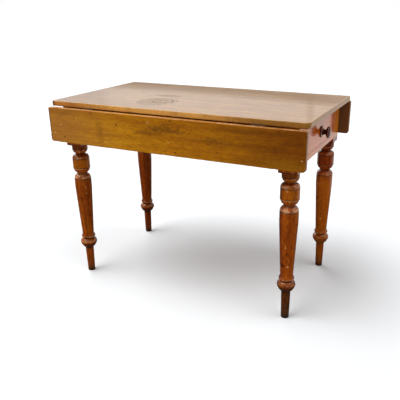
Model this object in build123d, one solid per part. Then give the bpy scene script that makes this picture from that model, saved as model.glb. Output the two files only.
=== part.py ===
"""Pembroke table: a fixed top, two drop leaves on fly brackets, a drawer at one end and four turned legs.

Millimetres. X runs along the table, Y across it and Z up. The origin is on the floor, under the middle.
Every sub-part is modelled on its +X, +Y side of the table and mirrored to where it belongs.
"""
from build123d import *
import os

# --- Boards ---
TABLE_HEIGHT = 730.0
TOP_LENGTH = 1016.0
TOP_WIDTH = 558.0
BOARD_THICKNESS = 20.0      # the centre top and both leaves
TOP_CORNER_RADIUS = 8.0
LEAF_DROP = 132.0
LEAF_LOW_CORNER_RADIUS = 10.0
LEAF_HIGH_CORNER_RADIUS = 3.0
SHOW_ARRIS = 2.5            # worn edges that are seen
BACK_ARRIS = 1.2            # edges on a leaf's inner face
LEAF_JOINT = 1.0            # open joint beside a raised leaf
LEAF_STANDOFF = 3.0         # from the top's edge to a hanging leaf

# --- Frame ---
END_OVERHANG = 36.5
SIDE_OVERHANG = 18.4
BLOCK_SIDE = 68.0           # square block at the head of a leg
BLOCK_LENGTH = 154.0
BLOCK_ARRIS = 1.5
POMMEL_RISE = 15.0          # the block's corners are turned round over this height
FRIEZE_DEPTH = 135.0
SIDE_RAIL_THICKNESS = 20.0
END_RAIL_THICKNESS = 22.0
END_RAIL_INSET = 3.0
TENON_THICKNESS = 10.0
TENON_LENGTH = 34.0
END_TENON_LENGTH = 20.0     # the end rails' tenons stop short of the side rails' tenons
TENON_SHOULDER = 12.0
DRAWER_RAIL_WIDTH = 60.0
DRAWER_RAIL_THICKNESS = 20.0
RAIL_LAP_LENGTH = 20.0      # dovetail that holds the upper drawer rail in the blocks
RAIL_LAP_THICKNESS = 12.0
RAIL_LAP_ROOT = 38.0
RAIL_LAP_END = 46.0

# --- Drawer running gear ---
RUNNER_WIDTH = 46.0         # measured in from the side rail
RUNNER_THICKNESS = DRAWER_RAIL_THICKNESS
GUIDE_HEIGHT = 12.0
STOP_LENGTH = 30.0
STOP_DEPTH = 16.0
STOP_HEIGHT = 6.0
STOP_SPREAD = 120.0         # from the middle of the table to each stop
RUN_CLEARANCE = 0.3         # between the resting drawer and what it rests on
DRAWER_SIDE_PLAY = 1.0
DRAWER_TOP_PLAY = 1.0

# --- Drawer ---
DRAWER_LENGTH = 520.0
DRAWER_FRONT_THICKNESS = 22.0
DRAWER_SIDE_THICKNESS = 10.0
DRAWER_SIDE_HEIGHT = 88.0
DRAWER_BACK_DROP = 4.0      # the back stands this much lower than the sides
DRAWER_ARRIS = 1.0
BOTTOM_THICKNESS = 8.0
BOTTOM_RISE = 8.0
BOTTOM_GROOVE = 5.0
TAIL_COUNT = 3
TAIL_SLOPE = 1.0 / 6.0
TAIL_SHARE = 0.55           # a tail's root, as a share of the tails' pitch
FRONT_LAP = 7.0             # wood left in front of the half-blind tails
NAIL_RADIUS = 1.1
NAIL_LENGTH = 24.0
NAIL_SPREAD = 140.0

# --- Knob ---
KNOB_PROJECTION = 35.0
KNOB_FLANGE_RADIUS = 19.0
KNOB_FLANGE_THICKNESS = 5.0
KNOB_WAIST_RADIUS = 9.0
KNOB_HEAD_RADIUS = 20.5
KNOB_HEAD_THICKNESS = 9.0
KNOB_CROWN = 4.0
KNOB_SPIGOT_RADIUS = 8.0
KNOB_SPIGOT_LENGTH = 17.0

# --- Leg turning: radii ---
CAP_RADIUS = 31.0
CAP_FOOT_RADIUS = 30.0
NECK_RADIUS = 21.5
NECK_EDGE_RADIUS = 23.0
DRUM_RADIUS = 33.5
WAIST_RADIUS = 23.0
WAIST_EDGE_RADIUS = 25.0
COLLAR_RADIUS = 32.9
SHAFT_FOOT_RADIUS = 23.1
RING_RADIUS = 28.2
RING_EDGE_RADIUS = 26.3
QUIRK_RADIUS = 24.0
BULB_HEAD_RADIUS = 27.2
BULB_RADIUS = 33.6
BULB_FOOT_RADIUS = 18.8
ANKLE_RADIUS = 16.6
TOE_RADIUS = 14.4
TOE_CHAMFER = 1.5
SCRIBE_DEPTH = 0.9
SCRIBE_WIDTH = 2.4

# --- Leg turning: lengths, from the block down to the shaft ---
CAP_LENGTH = 22.0
CAP_ROUND = 13.0
NECK_LENGTH = 5.0
DRUM_SHOULDER = 14.0
DRUM_LENGTH = 47.0
DRUM_UNDER = 14.0
WAIST_LENGTH = 7.5
COLLAR_SHOULDER = 17.5
COLLAR_LENGTH = 40.0        # straight, before the shaft begins to taper
DRUM_HIGH_SCRIBE = 11.0     # below the drum's upper edge
DRUM_LOW_SCRIBE = 5.0       # above the drum's lower edge
COLLAR_SCRIBE = 11.0        # below the collar's upper edge

# --- Leg turning: lengths, from the floor up to the shaft ---
ANKLE_LENGTH = 93.5
ANKLE_COVE = 9.0
BULB_UNDER = 24.5
BULB_OVER = 20.5
QUIRK_LENGTH = 4.5
RING_LENGTH = 14.0
RING_COVE = 10.5

# --- Curvature of the turned rounds and hollows, as sagitta over chord ---
SOFT_ROUND = 0.10
SLIGHT_ROUND = 0.055
FULL_ROUND = 0.20

# --- Leaf hinges ---
HINGE_INSET = 170.0         # from the end of the top to the middle of a hinge
HINGE_LENGTH = 50.0
HINGE_KNUCKLES = 5
BARREL_RADIUS = 3.5
BARREL_ROOM = 0.8           # cut away round the barrel
HINGE_PIN_RADIUS = 1.5
HINGE_PIN_FIT = 0.05
HINGE_KNUCKLE_GAP = 0.3
PLATE_THICKNESS = 2.0
TOP_PLATE_WIDTH = 28.0
LEAF_PLATE_WIDTH = 38.0
PLATE_SCREW_SPREAD = 17.0
PLATE_NEAR_ROW = 0.45       # the screws' distance from the pin, as shares of the plate's width
PLATE_FAR_ROW = 0.78
PLATE_SCREW_RADIUS = 1.8
PLATE_SCREW_LENGTH = 14.0

# --- Fly brackets ---
FLY_INSET = 4.6             # the fly rail's face lies this far inside the blocks' outer faces
FLY_RAIL_THICKNESS = 20.0
FLY_RAIL_LENGTH = 370.0     # from pin to pin, so that the brackets swing clear of the hinges
FLY_LENGTH = 125.0
FLY_FINGER_GAP = 24.0       # room for a finger behind a bracket's tip
FLY_ROOT = 32.0             # full depth beside the knuckles
FLY_TIP_DEPTH = 27.0
FLY_TIP_ROUND = 6.0
FLY_CLEARANCE = 0.3
FLY_KNUCKLES = 5
FLY_PIN_RADIUS = 2.5
FLY_PIN_FIT = 0.05

# --- Screws and glue blocks ---
SCREW_RADIUS = 2.3
SCREW_HEAD_RADIUS = 4.6
SCREW_GRIP = 12.0           # length in the second piece
TOP_SCREW_SPREAD = 300.0
RAIL_SCREW_SPREAD = 120.0
FLY_SCREW_SPREAD = 110.0
GLUE_BLOCK_LENGTH = 60.0
GLUE_BLOCK_SIDE = 22.0
GLUE_BLOCK_SPREAD = 95.0

# --- Places that several sub-parts share ---
UNDERSIDE = TABLE_HEIGHT - BOARD_THICKNESS
HALF_LENGTH = TOP_LENGTH / 2
HALF_WIDTH = TOP_WIDTH / 2
BLOCK_X = HALF_LENGTH - END_OVERHANG
BLOCK_Y = HALF_WIDTH - SIDE_OVERHANG
BLOCK_IN_X = BLOCK_X - BLOCK_SIDE
BLOCK_IN_Y = BLOCK_Y - BLOCK_SIDE
BLOCK_BOTTOM = UNDERSIDE - BLOCK_LENGTH
FRIEZE_BOTTOM = UNDERSIDE - FRIEZE_DEPTH
FRIEZE_MIDDLE = UNDERSIDE - FRIEZE_DEPTH / 2
LEG_CENTRE = (BLOCK_X - BLOCK_SIDE / 2, BLOCK_Y - BLOCK_SIDE / 2)

FLY_FACE_Y = BLOCK_Y - FLY_INSET
FLY_BACK_Y = FLY_FACE_Y - FLY_RAIL_THICKNESS
RAIL_IN_Y = FLY_BACK_Y - SIDE_RAIL_THICKNESS
RAIL_MIDDLE_Y = (RAIL_IN_Y + FLY_BACK_Y) / 2
FLY_PIN_X = FLY_RAIL_LENGTH / 2
FLY_PIN_Y = (FLY_FACE_Y + FLY_BACK_Y) / 2
FLY_TIP_X = FLY_PIN_X + FLY_LENGTH
FLY_END_X = FLY_TIP_X + FLY_FINGER_GAP
FLY_RADIUS = FLY_RAIL_THICKNESS / 2 - FLY_CLEARANCE
FLY_TOP = UNDERSIDE - FLY_CLEARANCE

END_RAIL_OUT_X = BLOCK_X - END_RAIL_INSET
END_RAIL_IN_X = END_RAIL_OUT_X - END_RAIL_THICKNESS
DRAWER_RAIL_IN_X = BLOCK_X - DRAWER_RAIL_WIDTH
RUNNER_TOP = FRIEZE_BOTTOM + DRAWER_RAIL_THICKNESS
KICKER_BOTTOM = UNDERSIDE - DRAWER_RAIL_THICKNESS

DRAWER_IN_X = BLOCK_X - DRAWER_FRONT_THICKNESS
DRAWER_BACK_X = BLOCK_X - DRAWER_LENGTH
DRAWER_HALF = BLOCK_IN_Y - DRAWER_SIDE_PLAY
DRAWER_BOTTOM = RUNNER_TOP + RUN_CLEARANCE
DRAWER_SIDE_TOP = DRAWER_BOTTOM + DRAWER_SIDE_HEIGHT
DRAWER_FRONT_TOP = KICKER_BOTTOM - DRAWER_TOP_PLAY
BOTTOM_LOW = DRAWER_BOTTOM + BOTTOM_RISE
BOTTOM_HIGH = BOTTOM_LOW + BOTTOM_THICKNESS

HINGE_X = HALF_LENGTH - HINGE_INSET
HINGE_Y = HALF_WIDTH + LEAF_STANDOFF / 2
HINGE_Z = UNDERSIDE - LEAF_STANDOFF / 2
LEAF_IN_Y = HALF_WIDTH + LEAF_STANDOFF
LEAF_OUT_Y = LEAF_IN_Y + BOARD_THICKNESS
LEAF_TOP = UNDERSIDE - LEAF_JOINT
LEAF_BOTTOM = LEAF_TOP - LEAF_DROP

ENDS = {"left": -1, "right": 1}
SIDES = {"front": -1, "back": 1}
INWARDS = (0, -1, 0)


# --- Shared shapes ---
def board(x, y, z):
    """A squared piece between two places along each axis."""
    low = (Align.MIN, Align.MIN, Align.MIN)
    return Pos(x[0], y[0], z[0]) * Box(x[1] - x[0], y[1] - y[0], z[1] - z[0], align=low)


def placed(piece, end=1, side=1):
    """A sub-part of the +X, +Y quarter, mirrored to another end or side."""
    if end < 0:
        piece = mirror(piece, about=Plane.YZ)
    if side < 0:
        piece = mirror(piece, about=Plane.XZ)
    return piece


def centred(middle, width):
    return middle - width / 2, middle + width / 2


def upright(y):
    """The XZ plane at a distance across the table, X along it and Z up."""
    return Plane(origin=(0, y, 0), x_dir=(1, 0, 0), z_dir=(0, -1, 0))


def rod(radius, length):
    """A round rod that stands on the XY plane."""
    return Cylinder(radius, length, align=(Align.CENTER, Align.CENTER, Align.MIN))


def screw(shank_radius, head_radius, length):
    """A countersunk wood screw whose head's face lies on the XY plane, driven along +Z."""
    head_depth = head_radius - shank_radius
    head = Cone(head_radius, shank_radius, head_depth, align=(Align.CENTER, Align.CENTER, Align.MIN))
    return head + Pos(0, 0, head_depth) * rod(shank_radius, length - head_depth)


def together(pieces):
    """Separate solids that share one sub-part."""
    return Compound(children=[solid for piece in pieces for solid in piece.solids()])


# --- Boards of the top ---
def hinge_places():
    return [end * HINGE_X for end in ENDS.values()]


def centre_top():
    plan = RectangleRounded(TOP_LENGTH, TOP_WIDTH, TOP_CORNER_RADIUS)
    top = Pos(0, 0, UNDERSIDE) * extrude(plan, BOARD_THICKNESS)
    top = fillet(top.faces().sort_by(Axis.Z)[-1].edges(), SHOW_ARRIS)
    top = fillet(top.faces().sort_by(Axis.Z)[0].edges(), SHOW_ARRIS)
    for side in SIDES.values():
        for x in hinge_places():
            top -= placed(on_top(hinge_housing(TOP_PLATE_WIDTH), x), side=side)
            for piece in plate_screws(TOP_PLATE_WIDTH):
                top -= placed(on_top(piece, x), side=side)
    for piece in top_screw_list():
        top -= piece
    return top


def leaf():
    outline = Pos(0, (LEAF_TOP + LEAF_BOTTOM) / 2) * Rectangle(TOP_LENGTH, LEAF_DROP)
    corners = outline.vertices().sort_by(Axis.Y)
    outline = fillet(corners[:2], LEAF_LOW_CORNER_RADIUS)
    corners = outline.vertices().group_by(Axis.Y)[-1]
    outline = fillet(corners, LEAF_HIGH_CORNER_RADIUS)
    panel = extrude(upright(LEAF_OUT_Y) * outline, BOARD_THICKNESS, dir=INWARDS)
    panel = fillet(panel.faces().sort_by(Axis.Y)[-1].edges(), SHOW_ARRIS)
    panel = fillet(panel.faces().sort_by(Axis.Y)[0].edges(), BACK_ARRIS)
    for x in hinge_places():
        panel -= on_leaf(hinge_housing(LEAF_PLATE_WIDTH), x)
        for piece in plate_screws(LEAF_PLATE_WIDTH):
            panel -= on_leaf(piece, x)
    return panel


# --- Leaf hinges, drawn with the pin along X through the origin and the plate lying towards -Y ---
def on_top(piece, x):
    return Pos(x, HINGE_Y, HINGE_Z) * piece


def on_leaf(piece, x):
    """The same, turned so that the plate hangs down the leaf's inner face."""
    swapped = Plane(origin=(0, 0, 0), z_dir=(0, 1, -1))
    return Pos(x, HINGE_Y, HINGE_Z) * mirror(piece, about=swapped)


def hinge_barrel(radius, x_low, x_high):
    along_x = Plane(origin=(x_low, 0, 0), z_dir=(1, 0, 0))
    return along_x * rod(radius, x_high - x_low)


def hinge_knuckle_spans(first):
    """Every second knuckle along the barrel, from the first, with a gap left at each joint."""
    pitch = HINGE_LENGTH / HINGE_KNUCKLES
    for number in range(first, HINGE_KNUCKLES, 2):
        low = -HINGE_LENGTH / 2 + number * pitch
        yield low + HINGE_KNUCKLE_GAP / 2, low + pitch - HINGE_KNUCKLE_GAP / 2


def plate_screws(width):
    """Two screws in the row near the pin and one in the far row."""
    face = LEAF_STANDOFF / 2
    near, far = -PLATE_NEAR_ROW * width, -PLATE_FAR_ROW * width
    head_radius = PLATE_SCREW_RADIUS + PLATE_THICKNESS
    one = screw(PLATE_SCREW_RADIUS, head_radius, PLATE_SCREW_LENGTH)
    places = [(-PLATE_SCREW_SPREAD, near), (PLATE_SCREW_SPREAD, near), (0, far)]
    return [Pos(x, y, face) * one for x, y in places]


def hinge_plate(width, first_knuckle):
    half = HINGE_LENGTH / 2
    levels = (LEAF_STANDOFF / 2, LEAF_STANDOFF / 2 + PLATE_THICKNESS)
    plate = board((-half, half), (-width, -BARREL_RADIUS - BARREL_ROOM / 2), levels)
    for low, high in hinge_knuckle_spans(first_knuckle):
        plate += board((low, high), (-width / 2, 0), levels)
        plate += hinge_barrel(BARREL_RADIUS, low, high)
    plate -= hinge_barrel(HINGE_PIN_RADIUS + HINGE_PIN_FIT, -half, half)
    for piece in plate_screws(width):
        plate -= piece
    return plate


def hinge_housing(width):
    """What is cut out of the wood for a plate and for its half of the barrel."""
    half = HINGE_LENGTH / 2 + HINGE_KNUCKLE_GAP
    levels = (0, LEAF_STANDOFF / 2 + PLATE_THICKNESS)
    return board((-half, half), (-width, 0), levels) + hinge_barrel(BARREL_RADIUS + BARREL_ROOM, -half, half)


def hinge_pin():
    return hinge_barrel(HINGE_PIN_RADIUS, -HINGE_LENGTH / 2, HINGE_LENGTH / 2)


# --- Legs ---
def round_off(start, end, share):
    """A turned round or hollow between two points of the profile; the share is negative in a hollow."""
    chord = ((end[0] - start[0]) ** 2 + (end[1] - start[1]) ** 2) ** 0.5
    return SagittaArc(start, end, share * chord)


def waisted(edge_radius, middle_radius, top, foot):
    """A hollow or a bead between two heights, from one radius to another and back."""
    return ThreePointArc((edge_radius, top), (middle_radius, (top + foot) / 2), (edge_radius, foot))


def upper_heights():
    """Heights of the turned members under the block, downwards."""
    lengths = [CAP_LENGTH, CAP_ROUND, NECK_LENGTH, DRUM_SHOULDER, DRUM_LENGTH, DRUM_UNDER,
               WAIST_LENGTH, COLLAR_SHOULDER, COLLAR_LENGTH]
    heights = [BLOCK_BOTTOM]
    for length in lengths:
        heights.append(heights[-1] - length)
    return heights


def lower_heights():
    """Heights of the turned members over the floor, upwards."""
    lengths = [TOE_CHAMFER, ANKLE_LENGTH, ANKLE_COVE, BULB_UNDER, BULB_OVER, QUIRK_LENGTH,
               RING_LENGTH, RING_COVE]
    heights = [0.0]
    for length in lengths:
        heights.append(heights[-1] + length)
    return heights


def turned_profile():
    """Half the turned part's section, radius along X and height along Y."""
    block, cap, neck_top, neck_foot, drum_top, drum_foot, waist_top, waist_foot, collar, shaft = upper_heights()
    floor, toe, ankle, bulb_foot, bulb, bulb_head, ring_foot, ring_top, cove_top = lower_heights()
    inside_block = block + POMMEL_RISE
    with BuildSketch() as section:
        with BuildLine():
            Polyline((0, floor), (0, inside_block), (CAP_RADIUS, inside_block), (CAP_RADIUS, block),
                     (CAP_FOOT_RADIUS, cap))
            round_off((CAP_FOOT_RADIUS, cap), (NECK_EDGE_RADIUS, neck_top), SOFT_ROUND)
            waisted(NECK_EDGE_RADIUS, NECK_RADIUS, neck_top, neck_foot)
            round_off((NECK_EDGE_RADIUS, neck_foot), (DRUM_RADIUS, drum_top), SOFT_ROUND)
            Line((DRUM_RADIUS, drum_top), (DRUM_RADIUS, drum_foot))
            round_off((DRUM_RADIUS, drum_foot), (WAIST_EDGE_RADIUS, waist_top), SOFT_ROUND)
            waisted(WAIST_EDGE_RADIUS, WAIST_RADIUS, waist_top, waist_foot)
            round_off((WAIST_EDGE_RADIUS, waist_foot), (COLLAR_RADIUS, collar), SOFT_ROUND)
            Polyline((COLLAR_RADIUS, collar), (COLLAR_RADIUS, shaft), (SHAFT_FOOT_RADIUS, cove_top))
            round_off((SHAFT_FOOT_RADIUS, cove_top), (RING_EDGE_RADIUS, ring_top), -SOFT_ROUND)
            waisted(RING_EDGE_RADIUS, RING_RADIUS, ring_top, ring_foot)
            Polyline((RING_EDGE_RADIUS, ring_foot), (QUIRK_RADIUS, (ring_foot + bulb_head) / 2),
                     (BULB_HEAD_RADIUS, bulb_head))
            round_off((BULB_HEAD_RADIUS, bulb_head), (BULB_RADIUS, bulb), SLIGHT_ROUND)
            round_off((BULB_RADIUS, bulb), (BULB_FOOT_RADIUS, bulb_foot), SOFT_ROUND)
            round_off((BULB_FOOT_RADIUS, bulb_foot), (ANKLE_RADIUS, ankle), -SOFT_ROUND)
            Polyline((ANKLE_RADIUS, ankle), (TOE_RADIUS, toe), (TOE_RADIUS - TOE_CHAMFER, floor), (0, floor))
        make_face()
    return section.sketch


def scribed_lines():
    """V cuts round the drum and the collar."""
    _, _, _, _, drum_top, drum_foot, _, _, collar, _ = upper_heights()
    cuts = [(DRUM_RADIUS, drum_top - DRUM_HIGH_SCRIBE), (DRUM_RADIUS, drum_foot + DRUM_LOW_SCRIBE),
            (COLLAR_RADIUS, collar - COLLAR_SCRIBE)]
    outer = max(DRUM_RADIUS, COLLAR_RADIUS) + SCRIBE_DEPTH
    for surface, height in cuts:
        bottom = surface - SCRIBE_DEPTH
        reach = SCRIBE_WIDTH * (outer - bottom) / SCRIBE_DEPTH / 2
        yield Polygon((bottom, height), (outer, height - reach), (outer, height + reach), align=None)


def pommel():
    """The round that the block's lower corners are turned to."""
    corner = BLOCK_SIDE * 2 ** 0.5 / 2
    flat = BLOCK_SIDE / 2
    with BuildSketch() as section:
        with BuildLine():
            Polyline((flat, BLOCK_BOTTOM), (0, BLOCK_BOTTOM), (0, UNDERSIDE), (corner, UNDERSIDE),
                     (corner, BLOCK_BOTTOM + POMMEL_RISE))
            round_off((corner, BLOCK_BOTTOM + POMMEL_RISE), (flat, BLOCK_BOTTOM), FULL_ROUND)
        make_face()
    return section.sketch


def spun(profile):
    """A profile on the XZ plane, turned about Z."""
    return revolve(Plane.XZ * profile, Axis.Z)


def leg(sockets):
    """A leg of the +X, +Y corner with the sockets that its own rails need."""
    block = board(centred(0, BLOCK_SIDE), centred(0, BLOCK_SIDE), (BLOCK_BOTTOM, UNDERSIDE))
    block = fillet(block.edges().filter_by(Axis.Z), BLOCK_ARRIS)
    turned = spun(turned_profile())
    for cut in scribed_lines():
        turned -= spun(cut)
    whole = Pos(*LEG_CENTRE, 0) * ((block & spun(pommel())) + turned)
    for socket in sockets:
        whole -= socket
    return whole


# --- Rails ---
def side_rail_tenon():
    return board((BLOCK_IN_X, BLOCK_IN_X + TENON_LENGTH), centred(RAIL_MIDDLE_Y, TENON_THICKNESS),
                 (FRIEZE_BOTTOM + TENON_SHOULDER, UNDERSIDE - TENON_SHOULDER))


def side_rail():
    rail = board((-BLOCK_IN_X, BLOCK_IN_X), (RAIL_IN_Y, FLY_BACK_Y), (FRIEZE_BOTTOM, UNDERSIDE))
    for end in ENDS.values():
        rail += placed(side_rail_tenon(), end)
    for piece in fly_rail_screw_list():
        rail -= piece
    return rail


def end_rail_tenon():
    return board(centred((END_RAIL_OUT_X + END_RAIL_IN_X) / 2, TENON_THICKNESS),
                 (BLOCK_IN_Y, BLOCK_IN_Y + END_TENON_LENGTH),
                 (FRIEZE_BOTTOM + TENON_SHOULDER, UNDERSIDE - TENON_SHOULDER))


def end_rail():
    rail = board((END_RAIL_IN_X, END_RAIL_OUT_X), (-BLOCK_IN_Y, BLOCK_IN_Y), (FRIEZE_BOTTOM, UNDERSIDE))
    for side in SIDES.values():
        rail += placed(end_rail_tenon(), side=side)
    return rail


def drawer_rail_tenon():
    return board(centred(BLOCK_X - DRAWER_RAIL_WIDTH / 2, DRAWER_RAIL_WIDTH - TENON_SHOULDER),
                 (BLOCK_IN_Y, BLOCK_IN_Y + END_TENON_LENGTH),
                 centred(FRIEZE_BOTTOM + DRAWER_RAIL_THICKNESS / 2, TENON_THICKNESS))


def lower_drawer_rail():
    rail = board((DRAWER_RAIL_IN_X, BLOCK_X), (-BLOCK_IN_Y, BLOCK_IN_Y), (FRIEZE_BOTTOM, RUNNER_TOP))
    for side in SIDES.values():
        rail += placed(drawer_rail_tenon(), side=side)
    return rail


def drawer_rail_lap():
    """The upper rail's dovetail, let into the head of a block."""
    middle = BLOCK_X - DRAWER_RAIL_WIDTH / 2
    root, end = centred(middle, RAIL_LAP_ROOT), centred(middle, RAIL_LAP_END)
    out = BLOCK_IN_Y + RAIL_LAP_LENGTH
    plan = Polygon((root[0], BLOCK_IN_Y), (root[1], BLOCK_IN_Y), (end[1], out), (end[0], out), align=None)
    return Pos(0, 0, UNDERSIDE - RAIL_LAP_THICKNESS) * extrude(plan, RAIL_LAP_THICKNESS)


def upper_drawer_rail():
    rail = board((DRAWER_RAIL_IN_X, BLOCK_X), (-BLOCK_IN_Y, BLOCK_IN_Y), (KICKER_BOTTOM, UNDERSIDE))
    for side in SIDES.values():
        rail += placed(drawer_rail_lap(), side=side)
    for piece in top_screw_list():
        rail -= piece
    return rail


# --- Drawer running gear ---
def frame_strip(levels):
    """A strip between the end rails that fills in to the side rail, notched round the blocks."""
    inner = RAIL_IN_Y - RUNNER_WIDTH
    strip = board((-END_RAIL_IN_X, DRAWER_RAIL_IN_X), (inner, BLOCK_IN_Y), levels)
    return strip + board((-BLOCK_IN_X, BLOCK_IN_X), (BLOCK_IN_Y, RAIL_IN_Y), levels)


def runner():
    return frame_strip((FRIEZE_BOTTOM, FRIEZE_BOTTOM + RUNNER_THICKNESS))


def kicker():
    strip = frame_strip((KICKER_BOTTOM, UNDERSIDE))
    for piece in top_screw_list():
        strip -= piece
    return strip


def drawer_guide():
    return board((-BLOCK_IN_X, BLOCK_IN_X), (BLOCK_IN_Y, RAIL_IN_Y), (RUNNER_TOP, RUNNER_TOP + GUIDE_HEIGHT))


def drawer_stops():
    face = DRAWER_IN_X - RUN_CLEARANCE
    stop = board((face - STOP_DEPTH, face), centred(STOP_SPREAD, STOP_LENGTH),
                 (RUNNER_TOP, RUNNER_TOP + STOP_HEIGHT))
    return together([stop, placed(stop, side=-1)])


# --- Drawer ---
def tails(root_x, length, levels):
    """Dovetails on the end of a drawer side: roots at root_x, ends beyond it by the signed length."""
    pitch = (levels[1] - levels[0]) / TAIL_COUNT
    flare = abs(length) * TAIL_SLOPE
    found = []
    for number in range(TAIL_COUNT):
        middle = levels[0] + (number + 0.5) * pitch
        root, end = centred(middle, pitch * TAIL_SHARE), centred(middle, pitch * TAIL_SHARE + 2 * flare)
        face = Polygon((root_x, root[0]), (root_x + length, end[0]), (root_x + length, end[1]),
                       (root_x, root[1]), align=None)
        found.append(extrude(upright(DRAWER_HALF) * face, DRAWER_SIDE_THICKNESS, dir=INWARDS))
    return found


def front_tails():
    return tails(DRAWER_IN_X, DRAWER_FRONT_THICKNESS - FRONT_LAP, (DRAWER_BOTTOM, DRAWER_SIDE_TOP))


def back_tails():
    return tails(DRAWER_BACK_X + DRAWER_SIDE_THICKNESS, -DRAWER_SIDE_THICKNESS,
                 (BOTTOM_HIGH, DRAWER_SIDE_TOP - DRAWER_BACK_DROP))


def drawer_bottom():
    half = DRAWER_HALF - DRAWER_SIDE_THICKNESS + BOTTOM_GROOVE
    panel = board((DRAWER_BACK_X, DRAWER_IN_X + BOTTOM_GROOVE), (-half, half), (BOTTOM_LOW, BOTTOM_HIGH))
    for nail in nail_list():
        panel -= nail
    return panel


def drawer_side():
    side = board((DRAWER_BACK_X + DRAWER_SIDE_THICKNESS, DRAWER_IN_X),
                 (DRAWER_HALF - DRAWER_SIDE_THICKNESS, DRAWER_HALF), (DRAWER_BOTTOM, DRAWER_SIDE_TOP))
    for tail in front_tails() + back_tails():
        side += tail
    return side - drawer_bottom()


def drawer_front():
    front = board((DRAWER_IN_X, BLOCK_X), (-DRAWER_HALF, DRAWER_HALF), (DRAWER_BOTTOM, DRAWER_FRONT_TOP))
    front = fillet(front.faces().sort_by(Axis.X)[-1].edges(), DRAWER_ARRIS)
    for side in SIDES.values():
        for tail in front_tails():
            front -= placed(tail, side=side)
    return front - drawer_bottom() - knob_spigot()


def drawer_back():
    back = board((DRAWER_BACK_X, DRAWER_BACK_X + DRAWER_SIDE_THICKNESS), (-DRAWER_HALF, DRAWER_HALF),
                 (BOTTOM_HIGH, DRAWER_SIDE_TOP - DRAWER_BACK_DROP))
    for side in SIDES.values():
        for tail in back_tails():
            back -= placed(tail, side=side)
    for nail in nail_list():
        back -= nail
    return back


def nail_list():
    """Nails up through the bottom into the back."""
    x = DRAWER_BACK_X + DRAWER_SIDE_THICKNESS / 2
    return [Pos(x, y, BOTTOM_LOW) * rod(NAIL_RADIUS, NAIL_LENGTH) for y in (-NAIL_SPREAD, 0, NAIL_SPREAD)]


def knob_axis():
    return Plane(origin=(BLOCK_X, 0, FRIEZE_MIDDLE), x_dir=(0, 1, 0), z_dir=(1, 0, 0))


def knob_spigot():
    return knob_axis() * (Pos(0, 0, -KNOB_SPIGOT_LENGTH) * rod(KNOB_SPIGOT_RADIUS, KNOB_SPIGOT_LENGTH))


def drawer_knob():
    """A spool: a flange against the drawer, a hollow waist and a crowned head."""
    crown = KNOB_PROJECTION - KNOB_CROWN
    head = crown - KNOB_HEAD_THICKNESS / 2
    neck = head - KNOB_HEAD_THICKNESS / 2
    flange_edge = KNOB_FLANGE_THICKNESS * FULL_ROUND
    waist = (neck + KNOB_FLANGE_THICKNESS) / 2
    with BuildSketch() as section:
        with BuildLine():
            Polyline((0, KNOB_PROJECTION), (0, 0), (KNOB_FLANGE_RADIUS, 0))
            SagittaArc((KNOB_FLANGE_RADIUS, 0), (KNOB_FLANGE_RADIUS, KNOB_FLANGE_THICKNESS), -flange_edge)
            ThreePointArc((KNOB_FLANGE_RADIUS, KNOB_FLANGE_THICKNESS), (KNOB_WAIST_RADIUS, waist),
                          (KNOB_FLANGE_RADIUS, neck))
            ThreePointArc((KNOB_FLANGE_RADIUS, neck), (KNOB_HEAD_RADIUS, head), (KNOB_FLANGE_RADIUS, crown))
            TangentArc((0, KNOB_PROJECTION), (KNOB_FLANGE_RADIUS, crown), tangent=(1, 0))
        make_face()
    return knob_axis() * spun(section.sketch) + knob_spigot()


# --- Fly brackets: wooden knuckle joints on iron pins ---
def fly_knuckle_spans(first):
    """Every second knuckle of the joint's height, from the first."""
    pitch = (FLY_TOP - FRIEZE_BOTTOM) / FLY_KNUCKLES
    for number in range(first, FLY_KNUCKLES, 2):
        low = FRIEZE_BOTTOM + number * pitch
        yield low, low + pitch


def fly_rod(radius, span):
    return Pos(FLY_PIN_X, FLY_PIN_Y, span[0]) * rod(radius, span[1] - span[0])


def fly_bevel(turn):
    """The 45 degree cut in the outer face beside the knuckles, which stops the bracket at a right angle."""
    reach = FLY_RAIL_THICKNESS
    height = UNDERSIDE - FRIEZE_BOTTOM
    wedge = Polygon((FLY_CLEARANCE, 0), (reach, reach), (-reach, reach), (-FLY_CLEARANCE, 0), align=None)
    half = Polygon((0, -FLY_CLEARANCE), (turn * (reach + FLY_CLEARANCE), reach), (0, reach), align=None)
    return Pos(FLY_PIN_X, FLY_PIN_Y, FRIEZE_BOTTOM) * extrude(wedge & half, height, dir=(0, 0, 1))


def fly_rail():
    rail = board((-FLY_PIN_X, FLY_PIN_X), (FLY_BACK_Y, FLY_FACE_Y), (FRIEZE_BOTTOM, UNDERSIDE))
    for end in ENDS.values():
        rail -= placed(fly_bevel(-1), end)
        for span in fly_knuckle_spans(0):
            rail += placed(fly_rod(FLY_RAIL_THICKNESS / 2, span), end)
        for low, high in fly_knuckle_spans(1):
            gap = (low - FLY_CLEARANCE / 2, high + FLY_CLEARANCE / 2)
            rail -= placed(fly_rod(FLY_RADIUS + FLY_CLEARANCE, gap), end)
        rail -= placed(fly_pin(), end)
    for piece in fly_rail_screw_list():
        rail -= piece
    return rail


def fly_rail_end():
    """The short fixed piece between a bracket's tip and the leg."""
    piece = board((FLY_END_X, BLOCK_IN_X), (FLY_BACK_Y, FLY_FACE_Y), (FRIEZE_BOTTOM, UNDERSIDE))
    for screw_solid in fly_rail_screw_list():
        piece -= screw_solid
    return piece


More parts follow.
